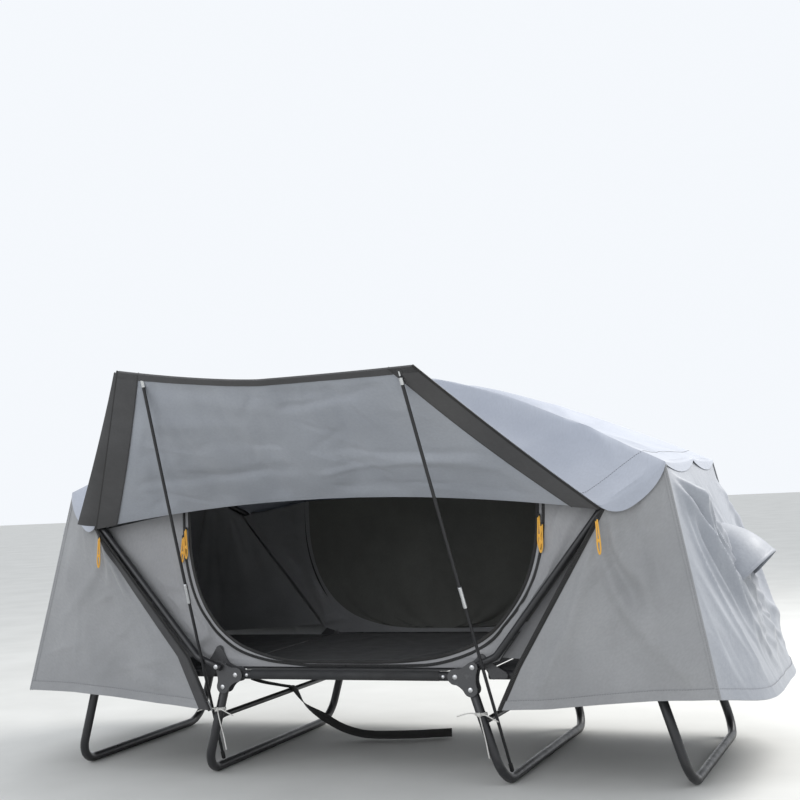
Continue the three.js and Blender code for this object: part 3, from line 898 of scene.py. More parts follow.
@dataclass(frozen=True)
class Creases:
    """Long soft creases scattered over a cloth, always the same for one seed."""

    seed: int
    count: int
    height: float
    width: float
    length: float
    heading: float = 0.0
    spread: float = math.pi
    focus: tuple[float, float] | None = None
    sharp: bool = False

    def lift(self, u: Grid, v: Grid, size: tuple[float, float]) -> Grid:
        """How far each point of the cloth stands off its plain surface.

        Args:
            u: shares of the cloth's width.
            v: shares of its height.
            size: its width and height in metres, over which the creases are scattered.

        Returns:
            The lift in metres, positive outwards.
        """
        pick = np.random.default_rng(self.seed)
        a, b = u * size[0], v * size[1]
        total = np.zeros_like(a)
        for _ in range(self.count):
            angle = self.heading + self.spread * (pick.random() - 0.5)
            if self.focus is None:
                middle = (pick.uniform(0.0, size[0]), pick.uniform(0.0, size[1]))
            else:
                reach = self.length * pick.uniform(0.25, 0.9)
                middle = (self.focus[0] + reach * math.cos(angle), self.focus[1] + reach * math.sin(angle))
            along = (a - middle[0]) * math.cos(angle) + (b - middle[1]) * math.sin(angle)
            aside = (b - middle[1]) * math.cos(angle) - (a - middle[0]) * math.sin(angle)
            aside = aside + 0.35 * self.width * np.sin(along * pick.uniform(6, 16) + pick.uniform(0, 6))
            width = self.width * pick.uniform(0.6, 1.5)
            length = self.length * pick.uniform(0.4, 1.1)
            height = self.height * pick.uniform(0.35, 1.0) * pick.choice([1.0, 1.0, -0.8])
            fall = np.sqrt((aside / width) ** 2 + 0.05) * 1.6 if self.sharp else (aside / width) ** 2
            total += height * np.exp(-fall) * np.exp(-(along / length) ** 2)
        return total


def total_lift(sets: Sequence[Creases], u: Grid, v: Grid, size: tuple[float, float]) -> Grid:
    """The lift of several sets of creases together."""
    return sum(creases.lift(u, v, size) for creases in sets)


def smooth_step(value: Grid | float) -> Grid:
    """A smooth rise from 0 at 0 to 1 at 1."""
    t = np.clip(value, 0, 1)
    return t * t * (3 - 2 * t)


def along_points(points: Path, t: Grid) -> Grid:
    """Points at share t of the length of a polyline."""
    spots = np.array(points, float)
    steps = np.concatenate([[0], np.cumsum(np.linalg.norm(np.diff(spots, axis=0), axis=1))])
    where = np.clip(t, 0, 1) * steps[-1]
    return np.stack([np.interp(where, steps, spots[:, k]) for k in range(3)], axis=-1)


def patch(top: Path, bottom: Path, left: Path, right: Path) -> Surface:
    """A surface over four edge curves (a Coons patch): u runs along top and bottom, v from top to bottom."""

    def surface(u: Grid, v: Grid) -> Grid:
        across = along_points(top, u) * (1 - v)[..., None] + along_points(bottom, u) * v[..., None]
        down = along_points(left, v) * (1 - u)[..., None] + along_points(right, v) * u[..., None]
        a, b = np.array(top[0]), np.array(top[-1])
        c, d = np.array(bottom[0]), np.array(bottom[-1])
        flat = (a * ((1 - u) * (1 - v))[..., None] + b * (u * (1 - v))[..., None]
                + c * ((1 - u) * v)[..., None] + d * (u * v)[..., None])
        return across + down - flat

    return surface


def creased(surface: Surface, size: tuple[float, float], creases: Sequence[Creases],
            away: tuple[float, float, float], hold: Surface) -> Surface:
    """A surface with creases, which die away where it is held.

    Args:
        surface: the plain surface.
        size: its width and height in metres, for the creases' own scale.
        creases: the sets of creases.
        away: the direction that creases stand out in.
        hold: a function of u and v that is 1 where the cloth is free and 0 where it is sewn.

    Returns:
        The creased surface.
    """

    def shaped(u: Grid, v: Grid) -> Grid:
        lift = total_lift(creases, u, v, size)
        return surface(u, v) + (lift * hold(u, v))[..., None] * np.array(away)

    return shaped


def edge_hold(u: Grid, v: Grid) -> Grid:
    """Free in the middle and held at all four edges."""
    return smooth_step(np.minimum.reduce([u, 1 - u, v, 1 - v]) * 9)


def wing_band(surface: Surface, start: float, width: float) -> Surface:
    """A band of an even width beside the edge u = 0 of a panel."""

    def band(u: Grid, v: Grid) -> Grid:
        reach = np.linalg.norm(surface(np.ones_like(v), v) - surface(np.zeros_like(v), v), axis=-1)
        return surface(start + u * width / np.maximum(reach, 0.05), v)

    return band


def settle(piece: bpy.types.Object) -> None:
    """Gives a door panel its own copy of its mesh."""
    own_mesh(piece)


def fold_flat(piece: bpy.types.Object) -> None:
    """Gives a piece of tent cloth its own copy of its mesh."""
    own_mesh(piece)


# Steel frame


def mirrored(points: Path, sign: int) -> list[Vector]:
    """Points with x turned to the given end."""
    return [Vector((sign * p[0], p[1], p[2])) for p in points]


def rivet_head(name: str, spot: Vector, way: int, radius: float, body: str) -> bpy.types.Object:
    """A domed rivet head that faces +y or -y."""
    profile = [(-0.0008, radius), (0.0006, radius), (0.0016, radius * 0.86), (0.0024, radius * 0.55),
               (0.0027, 0.0)]
    return make_turned(name, profile, Vector((0, way, 0)), spot, "bright_rivet", body, 16)


@dataclass
class PlateShape:
    """A flat steel plate whose outline swells round its pins."""

    lobes: dict[str, tuple[float, float, float]]
    links: Sequence[tuple[str, str]]
    centre: tuple[float, float]

    def outline(self, count: int = 120) -> list[tuple[float, float]]:
        """The outline as (x, z) points, found by walking out from the centre."""
        points = []
        for k in range(count):
            angle = 2 * math.pi * k / count
            reach = 0.0
            for step in range(1, 260):
                distance = step * 0.0005
                x = self.centre[0] + distance * math.cos(angle)
                z = self.centre[1] + distance * math.sin(angle)
                if self.covers(x, z):
                    reach = distance
            points.append((self.centre[0] + reach * math.cos(angle),
                           self.centre[1] + reach * math.sin(angle)))
        smooth = np.array(points)
        for _ in range(2):
            smooth = (np.roll(smooth, 1, 0) + 2 * smooth + np.roll(smooth, -1, 0)) / 4
        return [tuple(p) for p in smooth]

    def covers(self, x: float, z: float) -> bool:
        """Whether a point is on the plate."""
        for first, second in self.links:
            ax, az, ar = self.lobes[first]
            bx, bz, br = self.lobes[second]
            run = ((x - ax) * (bx - ax) + (z - az) * (bz - az)) / ((bx - ax) ** 2 + (bz - az) ** 2)
            t = min(max(run, 0.0), 1.0)
            waist = 1.0 - 0.32 * math.sin(math.pi * t)
            if math.hypot(x - ax - t * (bx - ax), z - az - t * (bz - az)) <= (ar + t * (br - ar)) * waist:
                return True
        return False

    def build(self, name: str, low_y: float, high_y: float, body: str) -> bpy.types.Object:
        """Builds the plate between two y values, with eased edges."""
        outline = self.outline()
        ease = 0.0006
        centre = np.array(self.centre)
        rings = []
        levels = ((low_y, ease), (low_y + ease, 0.0), (high_y - ease, 0.0), (high_y, ease))
        for y, inset in levels:
            ring = []
            for x, z in outline:
                away = np.array([x, z]) - centre
                length = max(float(np.linalg.norm(away)), 1e-6)
                spot = centre + away * (1 - inset / length)
                ring.append((spot[0], y + MIDDLE_Y, spot[1]))
            rings.append(ring)
        return make_swept(name, np.array(rings), "plate_steel", body, 30.0)


@dataclass
class BedFrame:
    """The folding steel frame: rails, brackets, end sections and U-shaped legs."""

    plan: SteelPlan = STEEL

    def rails(self) -> None:
        """Builds the two middle rails with their snap rivets."""
        for side, way in SIDES:
            y = way * self.plan.rail_y
            path = [Vector((-self.plan.rail_end, y, self.plan.rail_z)),
                    Vector((self.plan.rail_end, y, self.plan.rail_z))]
            tube = make_tube(f"rail_tube_{side}", path, self.plan.tube, "black_steel", "centre_frame")
            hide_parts(f"middle_rail_{side}")
            for end in ENDS:
                spot = Vector((end.sign * self.plan.snap_rivet_x, way * (self.plan.rail_y + 0.0118),
                               self.plan.rail_z))
                rivet_head(f"snap_rivet_{end.name}_{side}", spot, way, 0.0048, "centre_frame")

    def leg(self, size: tuple[float, float, float, float], y: float, end: End, letter: str,
            body: str) -> None:
        """Builds one U-shaped leg."""
        pivot_x, pivot_z, foot_x, reach = size
        foot = Vector((end.sign * foot_x, 0, self.plan.tube))
        pivot = Vector((end.sign * pivot_x, 0, pivot_z))
        top = pivot + (pivot - foot).normalized() * reach
        corners = [Vector((p.x, way * y, p.z)) for p, way in ((top, -1), (foot, -1), (foot, 1), (top, 1))]
        path = bent_path(corners, [self.plan.leg_bend] * 2, 12)
        tube = make_tube(f"u_leg_{letter}", path, self.plan.tube, "black_steel", body)
        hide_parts(f"leg_{letter}")

    def cross_bar(self, end: End) -> None:
        """Builds the bar between a middle leg's two sides, with flattened ends."""
        pivot_x, pivot_z, foot_x, _ = self.plan.mid_leg
        share = (pivot_z - self.plan.bar_z) / (pivot_z - self.plan.tube)
        x = end.sign * (pivot_x + (foot_x - pivot_x) * share)
        reach = self.plan.rail_y - self.plan.tube + 0.0005
        stations = np.concatenate([np.linspace(-reach, -reach + 0.03, 8),
                                   np.linspace(reach - 0.03, reach, 8)])
        rings = []
        for y in stations:
            flat = smooth_step((abs(y) - (reach - 0.028)) / 0.02)
            wide = self.plan.bar_tube * (1 + 0.25 * float(flat))
            deep = self.plan.bar_tube * (1 - 0.62 * float(flat))
            rings.append([(x + deep * math.cos(a), y + MIDDLE_Y, self.plan.bar_z + wide * math.sin(a))
                          for a in (2 * math.pi * k / 18 for k in range(18))])
        body = f"mid_leg_{end.mid_leg}"
        bar = make_swept(f"leg_bar_{end.mid_leg}", np.array(rings), "black_steel", body)
        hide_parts(f"leg_cross_bar_{end.mid_leg}")

    def section(self, end: End) -> None:
        """Builds an end section's frame."""
        plan = self.plan
        start, stop, y, z = plan.section_start, plan.section_end, plan.section_y, plan.rail_z
        corners = mirrored([(start, -y, z), (stop, -y, z), (stop, y, z), (start, y, z)], end.sign)
        path = bent_path(corners, [plan.section_bend] * 2, 16)
        tube = make_tube(f"section_tube_{end.name}", path, plan.tube, "black_steel", f"{end.name}_section")
        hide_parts(f"section_frame_{end.name}")

    def brackets(self, end: End) -> None:
        """Builds an end's hinge brackets, fold plates, pins and rivets."""
        plan = self.plan
        s = end.sign
        lobes = {
            "rail": (s * plan.rail_rivet_x, plan.rail_z, 0.021),
            "leg": (s * plan.mid_leg[0], plan.mid_leg[1], 0.019),
            "hoop": (s * plan.hoop_pivot[0], plan.hoop_pivot[1], 0.015),
            "fold": (s * plan.fold_pivot_x, end.fold_pivot_z, 0.013),
        }
        middle = (s * 0.350, 0.281)
        outer = PlateShape(lobes, (("rail", "leg"), ("leg", "hoop"), ("hoop", "rail")), middle)
        inner = PlateShape(lobes, (("rail", "leg"), ("leg", "hoop"), ("hoop", "fold"), ("rail", "hoop")),
                           middle)
        neck_lobes = {"pivot": lobes["fold"], "first": (s * 0.416, plan.rail_z, 0.011),
                      "last": (s * 0.444, plan.rail_z, 0.011)}
        neck_middle = (s * 0.405, (end.fold_pivot_z + 2 * plan.rail_z) / 3)
        neck = PlateShape(neck_lobes, (("pivot", "first"), ("first", "last"), ("pivot", "last")), neck_middle)
        for side, way in SIDES:
            tag = f"{end.name}_{side}"
            outer_y = sorted((way * plan.outer_plate, way * (plan.outer_plate + plan.plate)))
            inner_y = sorted((way * plan.inner_plate, way * (plan.inner_plate + plan.plate)))
            neck_y = sorted((way * plan.fold_plate, way * (plan.fold_plate + plan.plate - 0.0002)))
            plates = [outer.build(f"outer_{tag}", *outer_y, "centre_frame"),
                      inner.build(f"inner_{tag}", *inner_y, "centre_frame")]
            x, _, _ = lobes["rail"]
            face_y = way * (plan.outer_plate + plan.plate)
            plates.append(rivet_head(f"rail_rivet_{tag}", Vector((x, face_y, plan.rail_z)), way, 0.0068,
                                     "centre_frame"))
            bracket = join_pieces(f"bracket_{tag}", plates)
            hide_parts(f"hinge_bracket_{tag}")
            swan = neck.build(f"swan_neck_{tag}", *neck_y, f"{end.name}_section")
            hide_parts(f"fold_plate_{tag}")
            self.pins(end, side, way)

    def pins(self, end: End, side: str, way: int) -> None:
        """Builds the headed pins of one corner."""
        plan = self.plan
        outer = plan.outer_plate + plan.plate + 0.0003
        hoop_outer = max(outer, end.hoop_y + plan.hoop_tube + 0.0003)
        inner = plan.inner_plate - 0.0003
        spots = (
            (f"hoop_pin_{end.name}_{side}", plan.hoop_pivot, inner, hoop_outer, "centre_frame"),
            (f"leg_{end.mid_leg}_pin_{side}", plan.mid_leg[:2], inner, outer, "centre_frame"),
            (f"leg_{end.end_leg}_pin_{side}", plan.end_leg[:2], plan.end_leg_y - plan.tube - 0.0003,
             plan.fold_plate + 0.0003, f"{end.name}_section"),
        )
        for node, (x, z), low, high, body in spots:
            head = 0.0068
            length = high - low
            profile = [(-0.0026, 0.0), (-0.0024, head * 0.5), (-0.0014, head * 0.9), (0.0, head),
                       (0.0, 0.004), (length, 0.004), (length, head), (length + 0.0014, head * 0.9),
                       (length + 0.0024, head * 0.5), (length + 0.0026, 0.0)]
            origin = Vector((end.sign * x, way * low, z))
            pin = make_turned(f"{node}_turned", profile, Vector((0, way, 0)), origin, "bright_rivet", body)
            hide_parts(node)

    def hoop(self, end: End) -> None:
        """Builds an end's tent hoop."""
        plan = self.plan
        knee = (Vector((plan.hoop_knee[0], 0, plan.hoop_knee[1])) - Vector((
            plan.hoop_pivot[0], 0, plan.hoop_pivot[1]))).normalized()
        tail = (plan.hoop_pivot[0] - 0.012 * knee.x, plan.hoop_pivot[1] - 0.012 * knee.z)
        y = end.hoop_y
        spots = [(*tail, y), (*plan.hoop_knee, y), (*plan.hoop_corner, y),
                 (*plan.hoop_bar, y - plan.hoop_chamfer)]
        near = [(x, -y_, z) for x, z, y_ in spots]
        far = [(x, y_, z) for x, z, y_ in spots][::-1]
        radii = [0.040, 0.055, 0.045]
        path = bent_path(mirrored(near + far, end.sign), radii + radii[::-1], 10)
        tube = make_tube(f"hoop_tube_{end.name}", path, plan.hoop_tube, "black_steel", end.hoop_body)
        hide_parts(f"hoop_{end.name}")

    def build(self) -> None:
        """Builds the whole frame."""
        self.rails()
        for end in ENDS:
            self.section(end)
            self.leg(self.plan.mid_leg, self.plan.rail_y, end, end.mid_leg, f"mid_leg_{end.mid_leg}")
            self.leg(self.plan.end_leg, self.plan.end_leg_y, end, end.end_leg, f"end_leg_{end.end_leg}")
            self.cross_bar(end)
            self.brackets(end)
            self.hoop(end)
        LOG.info("steel frame built")


# Bed cloth


@dataclass
class BedCloth:
    """The black deck, stretched over the rails, with a sleeve along each one."""

    plan: SteelPlan = STEEL

    def deck(self, name: str, x_from: float, x_to: float, half: float, round_end: float, body: str,
             seed: int) -> bpy.types.Object:
        """Builds one deck panel.

        Args:
            name: the piece's name.
            x_from: where it starts along the bed.
            x_to: where it ends.
            half: half its width.
            round_end: the radius of its far corners, or 0.
            body: the body that it rides on.
            seed: the seed of its creases.

        Returns:
            The deck panel.
        """
        creases = Creases(seed, 26, 0.0016, 0.02, 0.16, math.pi / 2, 1.2)

        def surface(u: Grid, v: Grid) -> Grid:
            x = x_from + (x_to - x_from) * u
            inset = np.zeros_like(u)
            if round_end > 0:
                left = np.maximum(round_end - (1 - u) * abs(x_to - x_from), 0)
                inset = np.where(left > 0, round_end - np.sqrt(np.maximum(round_end ** 2 - left ** 2, 0)), 0)
            across = 2 * v - 1
            width = half - inset
            if round_end == 0:
                width = np.where(np.abs(x) > 0.330, 0.380, np.where(np.abs(x) > 0.2985, 0.3855, half))
            else:
                width = np.minimum(width, np.where(np.abs(x) < 0.462, 0.379, half))
            y = across * width
            sag = -0.005 * np.sin(np.pi * u) * np.cos(np.pi * (v - 0.5)) ** 0.8
            wrapped = -0.0105 * smooth_step((np.abs(across) - 0.965) / 0.035) if round_end > 0 else 0.0
            z = TENT.deck_z - 0.0024 + sag + wrapped
            z = z + creases.lift(u, v, (abs(x_to - x_from), 2 * half)) * edge_hold(u, v)
            return np.stack([x, y, z], axis=-1)

        piece = ClothPanel(name, surface, (130, 70), "deck_cloth", body,
                           (0.0, 0.0, -2.0)).hang("stretched", "rail_tube_near", "rail_tube_far")
        return piece

    def sleeve(self, side: str, way: int) -> None:
        """Builds the sleeve that wraps the top of a middle rail, and its stitches."""
        y, z, r = way * self.plan.rail_y, self.plan.rail_z, self.plan.tube + 0.0012

        def surface(u: Grid, v: Grid) -> Grid:
            angle = np.radians(104 - 160 * v) if way > 0 else np.radians(76 + 160 * v)
            x = -0.276 + 0.552 * u
            swell = r + 0.0006 * np.sin(u * 61 + v * 3) * np.sin(np.pi * v)
            return np.stack([x, y + swell * np.cos(angle), z + swell * np.sin(angle)], axis=-1)

        piece = ClothPanel(f"deck_sleeve_{side}", surface, (90, 14), "deck_cloth", "centre_frame",
                           (0.0, y, z)).hang("stretched", f"rail_tube_{side}")

    def build(self) -> None:
        """Builds the deck's panels and sleeves."""
        middle = self.deck("deck_panel_middle", -0.398, 0.398, 0.4035, 0.0, "centre_frame", 3)
        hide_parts("deck_middle")
        for side, way in SIDES:
            self.sleeve(side, way)
        for end in ENDS:
            piece = self.deck(f"deck_panel_{end.name}", end.sign * 0.406, end.sign * 0.9965, 0.3845, 0.1375,
                              f"{end.name}_section", 5 + end.seed)
            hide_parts(f"deck_{end.name}")
        LOG.info("bed cloth built")


# Inner tent


def arch_point(end: End, t: Grid) -> tuple[Grid, Grid]:
    """The door arch of one half as (x, z), from the sill's middle at t = 0 up to the eave at t = 1."""
    spots = soft_path([(x, 0.0, z) for x, z in end.arch], 8)
    line = np.array([tuple(p) for p in spots])
    where = np.linspace(0, 1, len(line))
    return np.interp(t, where, line[:, 0]), np.interp(t, where, line[:, 2])


def wall_rim(t: Grid) -> tuple[Grid, Grid]:
    """The outer edge of one half of a side wall, matched to the arch: along the sill, then up the hoop."""
    knots_t = [0.0, 0.364, 0.46, 0.54, 1.0]
    knots_x = [0.0, 0.370, 0.432, 0.456, 0.727]
    knots_z = [TENT.wall_foot_z, TENT.wall_foot_z, 0.322, 0.356, 0.700]
    return np.interp(t, knots_t, knots_x), np.interp(t, knots_t, knots_z)


@dataclass
class InnerTent:
    """The inner tent: side walls with an arched door, end walls and zips."""

    plan: TentPlan = TENT

    def side_wall(self, end: End, side: str, way: int) -> bpy.types.Object:
        """Builds half a side wall, between the door arch and the hoop."""
        # Painted light and shade: the near wall gets the lightened copy of the tent fabric, the far wall the
        # darkened copy.
        finish = "tent_cloth" if way < 0 else "tent_lining"
        creases = (Creases(end.seed + 3 * way, 16, 0.006, 0.022, 0.30, 1.2, 0.8),
                   Creases(end.seed + 9 + way, 10, 0.008, 0.03, 0.22, 0.4, 2.0))

        def surface(u: Grid, v: Grid) -> Grid:
            ax, az = arch_point(end, u)
            bx, bz = wall_rim(u)
            x = ax + (bx - ax) * v
            z = az + (bz - az) * v
            lift = total_lift(creases, u, v,
                              (0.95, 0.2)) * smooth_step((v - 0.2) * 5) * smooth_step((1 - v) * 6)
            belly = 0.006 * np.sin(np.pi * v) * smooth_step((u - 0.3) * 3)
            reach = min(0.020, end.hoop_y - STEEL.hoop_tube - self.plan.wall_y - 0.004)
            out = (reach * v + belly) * smooth_step((u - 0.42) * 5) + lift * smooth_step((u - 0.25) * 4)
            out = np.minimum(out, reach + 0.006 * (1 - smooth_step((v - 0.6) * 5)))
            return np.stack([end.sign * x, way * (self.plan.wall_y + 0.001 + out), z], axis=-1)

        def sill(u: Grid, v: Grid) -> Grid:
            return surface(u * SILL_SHARE, v)

        def upper(u: Grid, v: Grid) -> Grid:
            return surface(SILL_SHARE + u * (1 - SILL_SHARE), v)

        low_piece = ClothPanel(f"sill_{side}_{end.name}", sill, (60, 40), finish,
                               "centre_frame").hang("stretched", "deck_panel_middle")
        settle(low_piece)
        piece = ClothPanel(f"wall_{side}_{end.name}", upper, (90, 40), finish,
                           end.hoop_body).hang("stretched", f"hoop_tube_{end.name}")
        fold_flat(piece)
        return piece

    def side_return(self, end: End, side: str, way: int) -> bpy.types.Object:
        """Builds the low side panel between a hoop and the end wall."""
        s = end.sign
        y = way * self.plan.wall_y
        top = [(s * 0.735, way * 0.392, 0.703), (s * self.plan.wall_top_x, way * 0.330, 0.768)]
        bottom = [(s * 0.440, y, 0.330), (s * self.plan.wall_end_x, y, self.plan.wall_foot_z)]
        plain = patch(top, bottom, [top[0], bottom[0]], [top[1], bottom[1]])
        creases = (Creases(end.seed + 21 + way, 14, 0.006, 0.03, 0.25, 1.3, 1.4),)
        surface = creased(plain, (0.4, 0.4), creases, (0, way, 0), edge_hold)
        # Painted shade: the side return gets the darkened copy of the tent fabric.
        piece = ClothPanel(f"wall_return_{side}_{end.name}", surface, (40, 50), "tent_lining",
                           end.hoop_body).hang("stretched", f"hoop_tube_{end.name}")
        fold_flat(piece)
        return piece

    def end_wall(self, end: End) -> None:
        """Builds an end wall, from the hoop's bar down to the end of the bed."""
        s = end.sign
        y_top, y_foot = 0.326, self.plan.wall_y - 0.001
        top = [(s * (self.plan.wall_top_x + 0.002), -y_top, 0.770),
               (s * (self.plan.wall_top_x + 0.002), y_top, 0.770)]
        bottom = [(s * self.plan.wall_end_x, -y_foot, self.plan.wall_foot_z),
                  (s * self.plan.wall_end_x, y_foot, self.plan.wall_foot_z)]
        plain = patch(top, bottom, [top[0], bottom[0]], [top[1], bottom[1]])
        creases = (Creases(end.seed + 33, 24, 0.009, 0.035, 0.3, 1.5, 1.0),)
        surface = creased(plain, (0.75, 0.48), creases, (s, 0, 0), edge_hold)
        # Painted shade: the end wall gets the darkened copy of the tent fabric.
        piece = ClothPanel(f"end_wall_{end.name}", surface, (80, 50), "tent_lining",
                           end.hoop_body).hang("hung", f"hoop_tube_{end.name}")
        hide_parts(f"tent_wall_end_{end.name}")
        fold_flat(piece)

    def arch_trim(self, end: End, side: str, way: int) -> None:
        """Builds the arch's black binding, its zip tape and the zip's teeth."""
        facing = np.array([0, float(way), 0])
        for part, first, last, body in (("sill", 0.0, SILL_SHARE, "centre_frame"),
                                        ("arch", SILL_SHARE, 1.0, end.hoop_body)):
            t = np.linspace(first, last, 60)
            pieces = []
            for name, share, width in (("binding", -0.004, 0.009), ("zip_tape", 0.10, 0.008)):
                path = self.arch_line(end, way, t, share)
                ribbon = Ribbon(f"{part}_{name}_{side}_{end.name}", path, self.arch_across(end, t), width,
                                0.0028, "binding", body)
                pieces.append(ribbon.build())
            teeth = self.arch_line(end, way, t, 0.10)
            pieces.append(TOOTH_ROW.run(f"{part}_teeth_{side}_{end.name}",
                                        [(teeth + facing * 0.0018, facing)], "zip_teeth", body))
            for piece in pieces:
                if part == "sill":
                    settle(piece)
                else:
                    fold_flat(piece)

    def arch_line(self, end: End, way: int, t: Grid, share: float) -> Grid:
        """A line beside the arch, a share of the way to the wall's outer edge."""
        ax, az = arch_point(end, t)
        bx, bz = wall_rim(t)
        gap = np.maximum(np.hypot(bx - ax, bz - az), 1e-4)
        step = np.clip(share * 0.16 / gap, -0.5, 0.7)
        y = way * (self.plan.wall_y + 0.0030 + (0.026 * np.abs(step)) * smooth_step((t - 0.42) * 5))
        return np.stack([end.sign * (ax + (bx - ax) * step), y, az + (bz - az) * step], axis=1)

    def arch_across(self, end: End, t: Grid) -> Grid:
        """Directions across the arch, in the wall's plane."""
        ax, az = arch_point(end, t)
        line = np.stack([end.sign * ax, np.zeros_like(ax), az], axis=1)
        along = np.gradient(line, axis=0)
        return np.cross(along, np.array([0, 1.0, 0]))

    def far_door(self, end: End) -> None:
        """Builds half of the far door, which is zipped shut."""
        creases = (Creases(end.seed + 61, 18, 0.006, 0.03, 0.25, 1.4, 1.2),)

        def surface(u: Grid, v: Grid) -> Grid:
            x_side, z_side = arch_point(end, v)
            x = x_side * u
            lift = creases[0].lift(u, v, (0.5, 0.45)) * edge_hold(u, v)
            z = z_side + 0.014 * v * (1 - u)
            y = self.plan.wall_y + 0.0005 + lift
            return np.stack([end.sign * x, y, z], axis=-1)

        piece = ClothPanel(f"far_door_{end.name}", surface, (50, 60), "door_mesh",
                           "centre_frame").hang("hung", f"wall_far_{end.name}")
        settle(piece)

    def build(self) -> None:
        """Builds the inner tent."""
        for end in ENDS:
            for side, way in SIDES:
                piece = self.side_wall(end, side, way)
                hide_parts(f"tent_wall_{side}_{end.name}")
                self.side_return(end, side, way)
                self.arch_trim(end, side, way)
            self.end_wall(end)
            self.far_door(end)
        LOG.info("inner tent built")


# Rain fly


def eave_z(x: Grid, middle: float, corner: float, corner_x: float) -> Grid:
    """Height of the eave, which bows up between the hoop corners."""
    share = np.clip(np.abs(x) / corner_x, 0, 1)
    return middle + (corner - middle) * share ** 1.9


@dataclass
class RainFly:
    """The rain fly: roof, end panels, side wings, back door, awning and vent hoods."""

    plan: TentPlan = TENT

    def roof_rim(self, t: Grid) -> Grid:
        """The roof's rim, from the near eave's middle (t = 0) round the end to the far one (t = 1)."""
        cx, cy, cz = self.plan.eave_corner
        ex, ey, ez = self.plan.crown_corner
        near = [(x, -cy,
                 float(eave_z(np.array(x), self.plan.eave_middle_z, cz, cx))) for x in np.linspace(0, cx, 9)]
        bar = [(ex + 0.004, -ey * 0.5, ez + 0.004), (ex + 0.005, 0, ez + 0.006),
               (ex + 0.004, ey * 0.5, ez + 0.004)]
        rim = near + [(ex, -ey, ez)] + bar + [(ex, ey, ez)] + [(x, -y, z) for x, y, z in near[::-1]]
        return along_points(rim, t)

    def flap_depth(self, u: Grid) -> Grid:
        """How far the roof's scalloped flap hangs below its rim: deep over the wings, short over the end."""
        corner, crown = self.corner_share(), self.ridge_share()
        near = np.clip((u - corner) / (crown - corner), 0, 1)
        far = np.clip((1 - u - corner) / (crown - corner), 0, 1)
        over_end = np.clip((u - crown) / (1 - 2 * crown), 0, 1)
        side = np.where(u < 0.5, near, far)
        over_wing = 0.050 * np.sin(np.pi * side) ** 0.8
        return 0.007 + over_wing + 0.026 * np.abs(np.sin(2 * np.pi * over_end)) ** 0.8

    def roof(self, end: End) -> None:
        """Builds one half of the roof, raised along its two poles, with the flap that hangs from its rim."""
        ridge_t = self.ridge_share()
        creases = (Creases(end.seed + 2, 26, 0.007, 0.022, 0.4, 0.2, 2.2),
                   Creases(end.seed + 5, 12, 0.009, 0.018, 0.3, 1.5, 1.0))
        flap_share = 0.09

        def surface(u: Grid, v: Grid) -> Grid:
            down = np.clip(1 - v / flap_share, 0, 1)
            v = np.clip((v - flap_share) / (1 - flap_share), 0, 1)
            rim = self.roof_rim(u)
            peak = np.array([0, 0, self.plan.peak_z])
            near_ridge = np.exp(-((u - ridge_t) / 0.035) ** 2) + np.exp(-((u - 1 + ridge_t) / 0.035) ** 2)
            ease = 0.24 + 0.30 * np.minimum(near_ridge, 1)
            r = 1 - v
            rise = 1 - (np.sqrt(r ** 2 + ease ** 2) - ease) / (np.sqrt(1 + ease ** 2) - ease)
            points = rim * (1 - v)[..., None] + peak * v[..., None]
            z = rim[..., 2] + (peak[2] - rim[..., 2]) * rise
            inland = smooth_step(u * 8) * smooth_step((1 - u) * 8)
            sag = 0.018 * np.sin(np.pi * v) * (1 - np.minimum(near_ridge, 1)) * inland
            lift = total_lift(creases, u, v,
                              (2.6, 0.9)) * smooth_step(v * 6) * smooth_step((1 - v) * 4) * inland
            points[..., 2] = np.minimum(z - sag + lift, self.plan.peak_z + 0.004)
            depth = self.flap_depth(u) * down
            side = np.sign(rim[..., 1]) * smooth_step((np.abs(rim[..., 1]) - 0.28) / 0.1)
            over_end = smooth_step((rim[..., 0] - 0.80) / 0.07)
            points[..., 2] -= depth
            points[..., 0] += (0.004 + 0.22 * depth) * over_end * smooth_step(down * 3)
            past_corner = smooth_step((rim[..., 0] - 0.70) / 0.04)
            points[..., 1] += side * (0.004 + 0.12 * depth) * smooth_step(down * 3) * past_corner
            points[..., 0] *= end.sign
            return points

        # The roof cloth is lightened with painted light for its sunlit top.
        piece = ClothPanel(f"roof_{end.name}", surface, (220, 100), "roof_cloth", end.hoop_body,
                           (0, 0, 0.3)).hang("stretched", f"arch_pole_{end.name}")
        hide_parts(f"fly_roof_{end.name}")
        fold_flat(piece)
        t = np.linspace(0.02, 0.98, 150)[:, None]
        path = surface(t, np.full_like(t, 0.15))[:, 0]
        across = surface(t, np.full_like(t, 0.17))[:, 0] - path
        up = np.cross(across, np.gradient(path, axis=0))
        up *= np.where(up[:, 2:] < 0, -1.0, 1.0) / np.linalg.norm(up, axis=1, keepdims=True)
        row = STITCH_ROW.run(f"roof_stitches_{end.name}", [(path + up * 0.0008, up)], "dark_thread",
                             end.hoop_body)
        fold_flat(row)

    def ridge_share(self) -> float:
        """Where the ridge meets the rim, as a share of the rim's length."""
        rim = self.roof_rim(np.linspace(0, 1, 400))
        corner = np.array([self.plan.crown_corner[0], -self.plan.crown_corner[1], self.plan.crown_corner[2]])
        return float(np.argmin(np.linalg.norm(rim - corner, axis=1)[:200])) / 399

    def corner_share(self) -> float:
        """Where the hoop corner is on the roof's rim."""
        rim = self.roof_rim(np.linspace(0, 1, 400))
        cx, cy, cz = self.plan.eave_corner
        return float(np.argmin(np.linalg.norm(rim - np.array([cx, -cy, cz]), axis=1)[:200])) / 399

